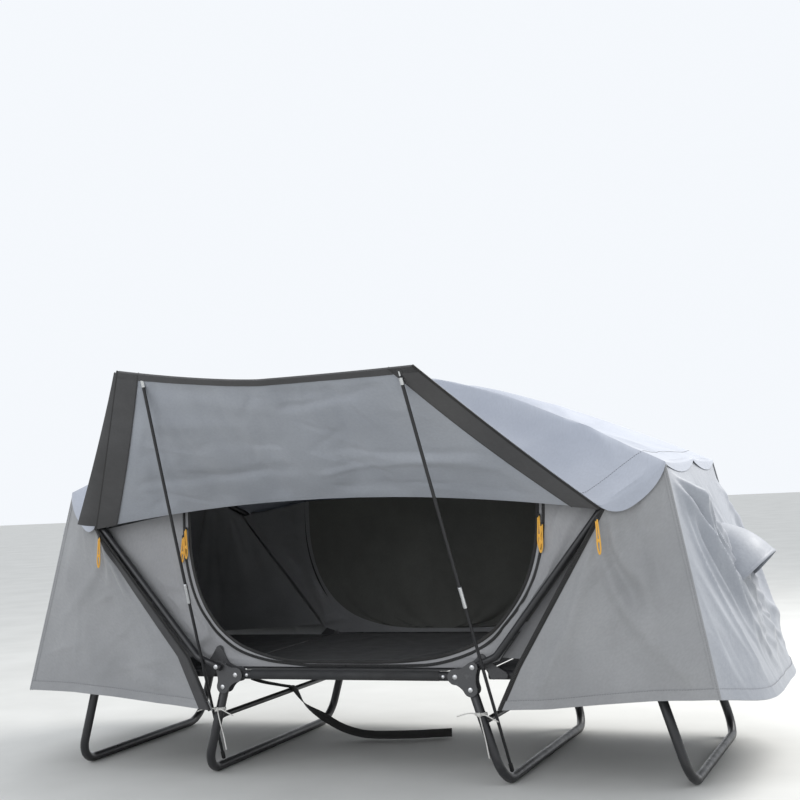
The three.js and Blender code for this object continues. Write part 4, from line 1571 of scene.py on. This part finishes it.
    def hem_line(self, t: Grid, sign: int) -> Grid:
        """The hem of an end panel, from the near seam to the far seam."""
        hx, hy, hz = self.plan.hem_corner
        bx, by, bz = self.plan.hem_bulge
        ex, ez = self.plan.hem_end
        spots = soft_path([(hx, -hy, hz), (bx, -by, bz), (ex, 0, ez), (bx, by, bz), (hx, hy, hz)], 8)
        line = along_points([tuple(p) for p in spots], t)
        line[..., 0] *= sign
        return line

    def end_panel(self, end: End) -> Surface:
        """The surface of an end panel, hanging from the hoop's bar to its hem."""
        s = end.sign
        ex, ey, ez = self.plan.crown_corner
        top_x, top_z = ex + 0.002, ez - 0.007
        t = np.linspace(0, 1, 33)
        top = [(s * (top_x + 0.004 * math.sin(math.pi * k)), -ey + 2 * ey * k, top_z) for k in t]
        bottom = [tuple(p) for p in self.hem_line(t, s)]
        left = [top[0], (s * 0.930, -0.394, 0.53), bottom[0]]
        right = [top[-1], (s * 0.930, 0.394, 0.53), bottom[-1]]
        plain = patch(top, bottom, left, right)
        creases = (
            Creases(end.seed + 71, 16, 0.014, 0.020, 0.34, 1.25, 0.5, sharp=True),
            Creases(end.seed + 72, 16, 0.032, 0.024, 0.55, 1.00, 0.7, focus=(0.02, 0.0), sharp=True),
            Creases(end.seed + 73, 9, 0.018, 0.026, 0.50, math.pi - 1.00, 0.6, focus=(0.80, 0.0), sharp=True),
            Creases(end.seed + 74, 26, 0.005, 0.011, 0.12, 0.9, 2.6, sharp=True),
        )

        def held(u: Grid, v: Grid) -> Grid:
            inside = smooth_step(v * 5) * smooth_step(u * 8) * smooth_step((1 - u) * 8)
            return inside * (0.15 + 0.85 * smooth_step((1 - v) * 3.5))

        return creased(plain, (0.82, 0.62), creases, (s * 0.93, 0.0, 0.30), held)

    def wing(self, end: End, way: int) -> Surface:
        """The surface of a side wing, from the zip's edge (u = 0) to the end seam (u = 1)."""
        s = end.sign
        cx, cy, cz = self.plan.eave_corner
        ex, ey, ez = self.plan.crown_corner
        zx, zz = end.zip_foot
        hx, hy, hz = self.plan.hem_corner
        y = self.plan.fly_y
        top = [(s * (cx + 0.002), way * y, cz - 0.009), (s * ex, way * ey, ez - 0.007)]
        hem = [(zx, zz), (0.58, 0.212), (0.70, 0.224), (0.84, 0.236), (hx, hz)]
        bottom = [(s * x, way * (y + 0.001 * math.sin(3 * k)), z) for k, (x, z) in enumerate(hem)]
        bottom[-1] = (s * hx, way * hy, hz)
        left = [top[0], (s * end.zip_middle[0], way * y, end.zip_middle[1]), bottom[0]]
        right = [top[1], (s * 0.930, way * 0.394, 0.53), bottom[-1]]
        plain = patch(top, bottom, left, right)
        creases = (
            Creases(end.seed + 81 + way, 12, 0.010, 0.030, 0.34, 1.35, 0.7),
            Creases(end.seed + 84 + way, 10, 0.009, 0.022, 0.30, 1.0, 0.8, focus=(0.02, 0.0)),
            Creases(end.seed + 87 + way, 24, 0.004, 0.012, 0.10, 1.2, 3.0),
        )

        def held(u: Grid, v: Grid) -> Grid:
            inside = smooth_step(v * 6) * smooth_step((u - 0.08) * 8) * smooth_step((1 - u) * 7)
            return inside * (0.35 + 0.65 * smooth_step((0.97 - v) * 9))

        return creased(plain, (0.45, 0.56), creases, (0.0, way, 0.0), held)

    def hem_band(self, name: str, surface: Surface, end: End, finish: str, cells: int,
                 settles: bool = False) -> None:
        """Builds a folded hem over the bottom of a panel, with its stitches."""
        low, high = HEM_SPAN
        body = "centre_frame" if settles else end.hoop_body

        def band(u: Grid, v: Grid) -> Grid:
            return surface(u, low + (high - low) * v)

        panel = ClothPanel(name, band, (cells, 5), finish, body, (0, 0, 0.5), HEM_HALF, HEM_HALF)
        piece = panel.build()
        middle, normals = panel.points()
        path = middle[:, 0] + normals[:, 0] * HEM_HALF
        row = STITCH_ROW.run(f"{name}_stitches", [(path, normals[:, 0])], "thread", body)
        for part in (piece, row):
            if settles:
                settle(part)
            else:
                fold_flat(part)

    def skirts(self, end: End) -> None:
        """Builds the end panel and the two wings, with seams, zips and hems."""
        surface = self.end_panel(end)
        piece = ClothPanel(f"end_panel_{end.name}", surface, (170, 120), "fly_end_cloth",
                           end.hoop_body).hang("hung", f"hoop_tube_{end.name}")
        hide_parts(f"fly_end_{end.name}")
        fold_flat(piece)
        self.hem_band(f"end_hem_{end.name}", surface, end, "fly_end_cloth", 170)
        for side, way in SIDES:
            wing = self.wing(end, way)
            piece = ClothPanel(f"wing_{end.name}_{side}", wing, (90, 110), "fly_cloth",
                               end.hoop_body).hang("hung", f"hoop_tube_{end.name}")
            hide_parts(f"fly_wing_{end.name}_{side}")
            fold_flat(piece)
            self.hem_band(f"wing_hem_{end.name}_{side}", wing, end, "fly_cloth", 90)
            self.zip_line(end, side, wing)
            self.seam(end, side, way, wing)

    def zip_line(self, end: End, side: str, wing: Surface) -> None:
        """Builds the zip along a wing's edge: tape and teeth, with a storm band beside the head end's near
        zip.
        """
        v = np.linspace(0, 1, 80)
        zeros = np.zeros_like(v)
        middle = wing(zeros[:, None] + 0.012, v[:, None])[:, 0]
        inner = wing(zeros[:, None] + 0.05, v[:, None])[:, 0]
        across = inner - middle
        normals = np.cross(across, np.gradient(middle, axis=0))
        normals /= np.linalg.norm(normals, axis=1, keepdims=True)
        normals *= np.sign(np.sum(normals * np.array([0, np.sign(middle[0, 1]), 0]), axis=1, keepdims=True))
        tape = Ribbon(f"fly_zip_tape_{end.name}_{side}", middle + normals * 0.0012, across, 0.013, 0.0030,
                      "binding", end.hoop_body)
        fold_flat(tape.build())
        if end is HEAD and side == "near":
            band = wing_band(wing, 0.012, 0.034)
            panel = ClothPanel("fly_storm_band", band, (6, 80), "trim_cloth", end.hoop_body, (0, 0, 0.5),
                               0.0034, 0.0034)
            fold_flat(panel.build())
        teeth = TOOTH_ROW.run(f"fly_zip_teeth_{end.name}_{side}", [(middle + normals * 0.0034, normals)],
                              "zip_teeth", end.hoop_body)
        fold_flat(teeth)

    def seam(self, end: End, side: str, way: int, wing: Surface) -> None:
        """Builds the felled seam where a wing meets the end panel."""
        v = np.linspace(0, 1, 80)
        path = wing(np.ones((80, 1)), v[:, None])[:, 0]
        before = wing(np.full((80, 1), 0.97), v[:, None])[:, 0]
        out = np.array([0.6 * end.sign, 0.8 * way, 0.1])
        seam = Ribbon(f"end_seam_{end.name}_{side}", path + out * 0.0012, path - before, 0.012, 0.0030,
                      "fly_cloth", end.hoop_body)
        fold_flat(seam.build())
        stitches = STITCH_ROW.run(f"end_seam_stitches_{end.name}_{side}", [(path + out * 0.0034, out)],
                                  "thread", end.hoop_body)
        fold_flat(stitches)

    def back_door(self, end: End) -> None:
        """Builds one half of the back door, which is zipped shut."""
        zx, zz = FOOT.zip_foot
        creases = (Creases(end.seed + 91, 14, 0.012, 0.03, 0.4, 1.5, 0.6),
                   Creases(end.seed + 92, 18, 0.005, 0.015, 0.15, 1.0, 3.0))

        def surface(u: Grid, v: Grid) -> Grid:
            hinge_x = self.plan.awning_hinge[0]
            top_z = eave_z(u * hinge_x, self.plan.eave_middle_z - 0.001, self.plan.eave_corner[2] - 0.003,
                           hinge_x)
            x = u * hinge_x * (1 - v) + u * zx * v
            z = top_z * (1 - v) + (zz + 0.008 * (1 - u)) * v
            lift = total_lift(creases, u, v, (0.6, 0.54)) * smooth_step(v * 6)
            lift = lift * smooth_step(u * 8) * smooth_step((1 - u) * 8)
            y = self.plan.fly_y + 0.0035 + 0 * x - np.abs(lift) * 0.2 + lift * 0.5
            return np.stack([end.sign * x, y, z], axis=-1)

        piece = ClothPanel(f"back_door_{end.name}", surface, (90, 100), "fly_cloth",
                           "centre_frame").hang("hung", f"roof_{end.name}")
        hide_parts(f"fly_back_door_{end.name}")
        settle(piece)
        self.hem_band(f"back_door_hem_{end.name}", surface, end, "fly_cloth", 90, settles=True)

    def awning_surface(self, end: End) -> Surface:
        """The surface of one half of the awning, from the eave (v = 0) to its free edge (v = 1)."""
        hx, hy, hz = self.plan.awning_hinge
        ex, ey, ez = self.plan.awning_edge
        creases = (Creases(end.seed + 41, 12, 0.007, 0.03, 0.45, 1.45, 0.5),
                   Creases(end.seed + 42, 10, 0.005, 0.02, 0.4, 0.05, 0.3),
                   Creases(end.seed + 43, 22, 0.0025, 0.012, 0.12, 0.6, 3.0))

        def surface(u: Grid, v: Grid) -> Grid:
            x = u * (hx * (1 - v) + ex * v)
            z_low = eave_z(u * hx, self.plan.awning_middle_z, hz, hx)
            sag = 0.020 * np.sin(np.pi * v) * (1 - 0.6 * u ** 2)
            dip = 0.007 * np.sin(np.pi * np.clip(v, 0, 1) / 2) * (1 - u ** 2)
            z_edge = ez + (end.awning_corner_z - ez) * u ** 1.3
            z = z_low * (1 - v) + z_edge * v - sag * 0.72 - dip
            y = -(hy * (1 - v) + ey * v) - sag * 0.1
            free = smooth_step(v * 8) * smooth_step((1 - v) * 8) * smooth_step(u * 12)
            free = free * smooth_step((0.86 - u) * 8)
            lift = total_lift(creases, u, v, (0.6, 0.5)) * free
            return np.stack([end.sign * x, y + lift * 0.69, z + lift * 0.72], axis=-1)

        return surface

    def awning(self, end: End) -> None:
        """Builds one half of the awning with its dark borders, bindings and zip."""
        surface = self.awning_surface(end)
        body = f"{end.name}_awning"
        inside = (0.0, -0.4, 1.6)
        # The awning cloth is lightened with painted light for the glow through its underside.
        piece = ClothPanel(f"awning_cloth_{end.name}", surface, (130, 90), "awning_cloth", body,
                           inside).hang("stretched", f"prop_pole_{end.name}")
        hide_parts(f"awning_{end.name}")
        parts = [piece]

        def slanted(u: Grid, v: Grid) -> Grid:
            width = 0.095 + 0.055 * v
            return surface(1.0 - width * (1 - u), v)

        def front(u: Grid, v: Grid) -> Grid:
            return surface(u, 0.965 + 0.036 * v)

        borders = (("side", slanted, (20, 90)), ("front", front, (130, 4)))
        for name, shape, cells in borders:
            border = ClothPanel(f"awning_border_{name}_{end.name}", shape, cells, "trim_cloth", body, inside,
                                0.0030, 0.0030)
            parts.append(border.build())
        v = np.linspace(0, 1, 80)[None]
        edge = surface(np.full_like(v, 1.0), v)[0]
        inner = surface(np.full_like(v, 0.97), v)[0]
        parts.append(Ribbon(f"awning_zip_{end.name}", edge, edge - inner, 0.012, 0.0046, "binding",
                            body).build())
        up = np.cross(np.gradient(edge, axis=0), edge - inner)
        up /= np.linalg.norm(up, axis=1, keepdims=True)
        parts.append(TOOTH_ROW.run(f"awning_teeth_{end.name}", [(edge + (edge - inner) * 0.3, up)],
                                   "zip_teeth", body))
        stitch_line = surface(1.0 - (0.095 + 0.055 * v) * 0.96, v)[0]
        rows = [(stitch_line - np.array([0, 0.69, 0.72]) * 0.0036, np.array([0, -0.69, -0.72])),
                (stitch_line + np.array([0, 0.69, 0.72]) * 0.0036, np.array([0, 0.69, 0.72]))]
        parts.append(STITCH_ROW.run(f"awning_stitches_{end.name}", rows, "dark_thread", body))
        for part in parts:
            fold_flat(part)
        if end is HEAD:
            self.storm_flap(end, surface, body, inside)

    def storm_flap(self, end: End, awning: Surface, body: str, inside: tuple[float, float, float]) -> None:
        """Builds the loose flap outside the awning's zip, which widens towards the eave."""

        def flap(u: Grid, v: Grid) -> Grid:
            edge = awning(np.ones_like(v), 0.02 + 0.97 * v)
            width = 0.012 + 0.048 * (1 - v) ** 1.2
            curl = 0.010 * np.sin(np.pi * u * 0.5) * (1 - v)
            return edge + np.stack([end.sign * u * width, -curl, 0.30 * u * width - curl], axis=-1)

        piece = ClothPanel("awning_storm_flap", flap, (12, 80), "trim_cloth", body, inside, 0.0014,
                           0.0014).hang("hung", f"awning_cloth_{end.name}")
        fold_flat(piece)

    def vent(self, end: End) -> None:
        """Builds a vent hood, a dark sheet of painted shade under it and the dark mesh behind it."""
        s = end.sign

        def hood(u: Grid, v: Grid) -> Grid:
            across = 2 * u - 1
            arch = np.sqrt(np.maximum(1 - across ** 2, 0))
            root_x = 0.950 + 0.050 * np.abs(across) ** 1.6
            root_z = 0.640 - 0.150 * np.abs(across) ** 1.7
            brim_x = 1.004 + 0.078 * arch ** 1.3
            brim_z = 0.488 + 0.076 * arch ** 1.3
            y = across * 0.140 * (1 - 0.05 * v)
            x = root_x * (1 - v) + brim_x * v + 0.006 * np.sin(np.pi * v) * arch
            z = root_z * (1 - v) + brim_z * v + 0.012 * np.sin(np.pi * v) * arch
            return np.stack([s * x, y, z], axis=-1)

        piece = ClothPanel(f"hood_{end.name}", hood, (48, 18), "fly_end_cloth", f"{end.name}_vent",
                           (s * 0.9, 0, 0.4)).hang("stretched", f"end_panel_{end.name}")
        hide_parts(f"vent_hood_{end.name}")
        t = np.linspace(0, 1, 60)[:, None]
        brim = hood(t, np.ones_like(t))[:, 0]
        before = hood(t, np.full_like(t, 0.9))[:, 0]
        rim = Ribbon(f"hood_binding_{end.name}", brim, brim - before, 0.011, 0.0034, "fly_end_cloth",
                     f"{end.name}_vent").build()

        # Painted shade: a dark sheet just under the hood darkens its underside.
        def under(u: Grid, v: Grid) -> Grid:
            return hood(0.02 + 0.96 * u, 0.02 + 0.95 * v) - np.array([s * 0.0016, 0, 0.0016])

        shade_sheet = ClothPanel(f"hood_lining_{end.name}", under, (48, 18), "trim_cloth", f"{end.name}_vent",
                            (s * 0.9, 0, 0.4)).build()
        for part in (piece, rim, shade_sheet):
            fold_flat(part)
        surface = self.end_panel(end)

        def opening(u: Grid, v: Grid) -> Grid:
            across = 2 * u - 1
            reach = np.sqrt(np.maximum(1 - (2 * v - 1) ** 2, 0.02))
            points = surface(0.5 + across * 0.060 * reach, 0.345 + 0.115 * v)
            return points + np.array([s * 0.005, 0, 0])

        panel = ClothPanel(f"vent_mesh_{end.name}", opening, (40, 30), "door_mesh", end.hoop_body,
                           (0, 0, 0.5), 0.001, 0.001)
        fold_flat(panel.build())

    def build(self) -> None:
        """Builds the rain fly."""
        for end in ENDS:
            self.roof(end)
            self.skirts(end)
            self.back_door(end)
            self.awning(end)
            self.vent(end)
        LOG.info("rain fly built")


# Poles, cords and strap


@dataclass
class Fittings:
    """The poles that hold the roof and the awning, and the small cords and straps."""

    plan: TentPlan = TENT

    def prop_pole(self, end: End) -> None:
        """Builds an awning pole with its ferrule, foot and tip."""
        body = f"{end.name}_pole"
        foot = Vector((end.sign * self.plan.pole_foot[0], -end.pole_foot_y, self.plan.pole_foot[1]))
        tip = Vector((end.sign * end.pole_tip[0], -end.pole_tip[1], end.pole_tip[2]))
        along = tip - foot
        bow = Vector((0.0, -0.25, 0.1)).normalized() * 0.006
        path = [foot + along * t + bow * math.sin(math.pi * t) for t in (k / 24 for k in range(25))]
        pole = make_tube(f"prop_pole_{end.name}", path, 0.0042, "pole_sleeve", body, 14)
        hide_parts(f"awning_pole_{end.name}")
        length = along.length
        axis = along.normalized()
        ferrule = [(0.0, 0.0042), (0.001, 0.0054), (0.058, 0.0054), (0.059, 0.0042)]
        middle = foot + along * 0.44 + bow * math.sin(math.pi * 0.44)
        make_turned(f"pole_ferrule_{end.name}", ferrule, axis, middle, "ferrule", body)
        cap = [(0.0, 0.0), (0.001, 0.0044), (0.004, 0.0058), (0.024, 0.0056), (0.026, 0.0042)]
        make_turned(f"pole_foot_{end.name}", cap, axis, foot - axis * 0.001, "end_cap", body)
        point = [(-0.022, 0.0042), (-0.021, 0.0052), (-0.004, 0.0052), (-0.002, 0.0026), (0.012, 0.0022),
                 (0.014, 0.0)]
        make_turned(f"pole_tip_{end.name}", point, axis, foot + axis * length, "ferrule", body)

    def roof_pole(self, end: End) -> None:
        """Builds one half of the roof's crossed poles."""
        s = end.sign
        hub = Vector((s * 0.012, 0, 1.076))
        path = []
        for way in (-1, 1):
            foot = Vector((s * 0.836, way * 0.286, 0.806))
            shares = [k / 16 for k in range(17)]
            half = [foot.lerp(hub, t) + Vector((0, 0, 0.012)) * math.sin(math.pi * t) for t in shares]
            path += half if way < 0 else half[::-1][1:]
        pole = make_tube(f"arch_pole_{end.name}", path, 0.0042, "pole_sleeve", end.hoop_body, 12)
        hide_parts(f"roof_pole_{end.name}")
        fold_flat(pole)

    def zip_pull(self, name: str, spot: Vector, end: End, drop: float, lean: float = 0.0) -> None:
        """Builds a zip slider with a knotted loop of bright cord.

        Args:
            name: the pull's name.
            spot: where the slider sits.
            end: the end whose hoop carries it and folds it flat.
            drop: how far the loop hangs.
            lean: how far the loop leans along the bed.
        """
        out = Vector((0, -0.004, 0))
        loop = [(0.0016, 0, 0), (0.0024 + lean, 0, -0.35 * drop), (0.0036 + lean * 2, -0.002, -0.8 * drop),
                (lean * 2.4, -0.003, -drop), (-0.0040 + lean * 2, -0.002, -0.78 * drop),
                (-0.0026 + lean, 0, -0.33 * drop), (-0.0016, 0, -0.004)]
        path = [p + spot + out for p in soft_path(loop, 6)]
        body = end.hoop_body
        cord = make_tube(f"{name}_cord", path, 0.0021, "pull_cord", body, 8)
        knot = [(0, 0.0), (0.001, 0.0026), (0.005, 0.0038), (0.009, 0.0026), (0.010, 0.0)]
        tie = make_turned(f"{name}_knot", knot, Vector((0, 0, -1)),
                          spot + out + Vector((lean * 1.6, 0, -0.55 * drop)), "pull_cord", body, 12)
        slider = [(-0.006, 0.0), (-0.0055, 0.0032), (0.0, 0.0044), (0.0055, 0.0032), (0.006, 0.0)]
        metal = make_turned(f"{name}_slider", slider, Vector((0, 0, 1)), spot + out * 0.4, "end_cap", body,
                            12)
        fold_flat(join_pieces(name, [cord, tie, metal]))

    def pulls(self) -> None:
        """Builds the bright pulls of the fly's zips and the door's zips."""
        for end in ENDS:
            self.zip_pull(f"fly_pull_{end.name}", Vector((end.sign * 0.722, -0.4475, 0.678)), end, 0.085,
                          0.002 * end.sign)
            x = end.arch[-2][0]
            self.zip_pull(f"door_pull_{end.name}", Vector((end.sign * (x + 0.008), -0.386, 0.690)), end,
                          0.082)
            self.zip_pull(f"door_pull_low_{end.name}", Vector((end.sign * (x + 0.016), -0.388, 0.668)), end,
                          0.070, -0.002)

    def leg_ties(self, end: End) -> None:
        """Builds the elastic that ties a wing's corner to the middle leg."""
        pivot_x, pivot_z, foot_x, _ = STEEL.mid_leg
        z = 0.186
        x = end.sign * (pivot_x + (foot_x - pivot_x) * (pivot_z - z) / (pivot_z - STEEL.tube))
        leg = Vector((x, -STEEL.rail_y, z))
        body = f"mid_leg_{end.mid_leg}"
        turns = []
        for k in range(49):
            angle = 2 * math.pi * k / 16
            rise = 0.0022 * k / 16
            turns.append(leg + Vector((0.0150 * math.cos(angle), 0.0150 * math.sin(angle), rise)))
        wrap = make_tube(f"tie_wrap_{end.mid_leg}", turns, 0.0018, "elastic", body, 8)
        front = leg + Vector((0.0, -0.016, 0.003))
        steps = (((-0.020, -0.010, 0.006), (-0.044, -0.012, 0.001), (-0.058, -0.010, -0.004)),
                 ((0.020, -0.011, 0.002), (0.040, -0.010, -0.008), (0.052, -0.004, -0.016)),
                 ((0.008, -0.004, -0.030), (0.014, 0.002, -0.070), (0.020, 0.004, -0.112)))
        paths = [soft_path([front, *(front + Vector(step) for step in tail)]) for tail in steps]
        knot = make_turned(f"tie_knot_{end.mid_leg}",
                           [(-0.006, 0.0), (-0.004, 0.005), (0.0, 0.0065), (0.004, 0.005), (0.006, 0.0)],
                           Vector((1, 0, 0.2)), front, "elastic", body, 12)
        tails = [make_tube(f"tie_tail_{end.mid_leg}_{k}", path, 0.0017, "elastic", body, 8)
                 for k, path in enumerate(paths)]
        join_pieces(f"leg_tie_{end.mid_leg}", [wrap, knot, *tails])

    def strap(self) -> None:
        """Builds the carry strap, looped over the head end's leg bar, with its tail on the ground."""
        flat, tilted, on_edge = (0.0, -1.0, 0.0), (0.25, -0.8, 0.5), (0.0, -0.35, 0.94)
        route = [(-0.490, -0.030, 0.215), (-0.459, -0.010, 0.200), (-0.425, 0.012, 0.189),
                 (-0.402, 0.024, 0.183), (-0.389, 0.032, 0.1795), (-0.3805, 0.037, 0.1758),
                 (-0.373, 0.043, 0.162), (-0.351, 0.060, 0.119), (-0.307, 0.090, 0.077),
                 (-0.259, 0.115, 0.041), (-0.208, 0.133, 0.021), (-0.165, 0.139, 0.0158),
                 (-0.125, 0.142, 0.0155), (-0.040, 0.160, 0.0155), (0.020, 0.184, 0.0155),
                 (0.070, 0.206, 0.0155)]
        steps = 6
        line = soft_path(route, steps)
        ways = np.array([flat] * 7 + [tilted] + [on_edge] * 8)
        across = np.stack(
            [np.interp(np.arange(len(line)) / steps, np.arange(16), ways[:, k]) for k in range(3)], axis=1)
        body = f"mid_leg_{HEAD.mid_leg}"
        spots = np.array([tuple(p) for p in line])
        strap = Ribbon("carry_strap_webbing", spots, across, 0.0295, 0.0022, "webbing", body).build()
        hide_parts("carry_strap")
        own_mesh(strap)

    def build(self) -> None:
        """Builds the poles, pulls, ties and strap."""
        for end in ENDS:
            self.prop_pole(end)
            self.roof_pole(end)
            self.leg_ties(end)
        self.pulls()
        self.strap()
        LOG.info("fittings built")


# Studio


@dataclass
class Studio:
    """Camera, floor and lights."""

    eye: tuple[float, float, float] = (1.528, -3.644, 0.800)
    yaw: float = 0.3911
    roll: float = -0.0512
    lens: float = 60.3
    rise: float = 0.099

    def camera(self) -> None:
        """Sets the camera where a standing person looks at the open side."""
        data = bpy.data.cameras.new("viewpoint")
        data.lens = self.lens
        data.sensor_width = 36.0
        data.shift_y = self.rise
        camera = add_object("viewpoint", data)
        ahead = Vector((-math.sin(self.yaw), math.cos(self.yaw), 0))
        level = Vector((math.cos(self.yaw), math.sin(self.yaw), 0))
        up = Vector((0, 0, 1))
        c, s = math.cos(self.roll), math.sin(self.roll)
        right = level * c + up * s
        top = up * c - level * s
        turn = Matrix((right, top, -ahead)).transposed().to_4x4()
        camera.matrix_world = Matrix.Translation(place(*self.eye)) @ turn
        bpy.context.scene.camera = camera

    def floor(self) -> None:
        """Lays a pale floor."""
        mesh = bpy.data.meshes.new("floor")
        r = FLOOR_REACH
        mesh.from_pydata([(-r, -r, 0), (r, -r, 0), (r, r, 0), (-r, r, 0)], [], [(0, 1, 2, 3)])
        sheet = NodeSheet("pale_floor")
        space = sheet.place(False)
        sheet.join(sheet.ramp(sheet.noise(space, 3.0), (0.60, 0.60, 0.58), (0.66, 0.66, 0.64)),
                   sheet.shader.inputs["Base Color"])
        sheet.shader.inputs["Roughness"].default_value = 0.9
        mesh.materials.append(sheet.material)
        ground = add_object("floor", mesh)

    def area(self, name: str, spot: tuple[float, float, float], aim: tuple[float, float, float], size: float,
             power: float, colour: tuple[float, float, float]) -> None:
        """Hangs one soft light."""
        data = bpy.data.lights.new(name, "AREA")
        data.size = size
        data.energy = power
        data.color = colour
        lamp = add_object(name, data)
        lamp.location = spot
        lamp.rotation_euler = (Vector(aim) - Vector(spot)).to_track_quat("-Z", "Y").to_euler()

    def build(self) -> None:
        """Builds the studio."""
        self.camera()
        self.floor()
        world = bpy.data.worlds.new("soft_sky")
        world.use_nodes = True
        world.node_tree.nodes["Background"].inputs["Color"].default_value = (0.93, 0.96, 1.0, 1.0)
        world.node_tree.nodes["Background"].inputs["Strength"].default_value = 0.98
        bpy.context.scene.world = world
        bpy.context.scene.view_settings.view_transform = "Standard"
        self.area("high_key", (2.6, 2.2, 3.6), (0.0, 0.2, 0.5), 2.4, 190.0, (1.0, 0.98, 0.95))
        self.area("front_fill", (-1.0, -4.2, 2.6), (0.0, 0.0, 0.4), 3.2, 60.0, (0.95, 0.97, 1.0))


def main() -> None:
    """Builds the studio and each sub-assembly, and reports them."""
    logging.basicConfig(level=logging.INFO, format="%(name)s: %(message)s")
    Studio().build()
    for assembly in (BedFrame(), BedCloth(), InnerTent(), RainFly(), Fittings()):
        assembly.build()


if __name__ == "__main__":
    main()
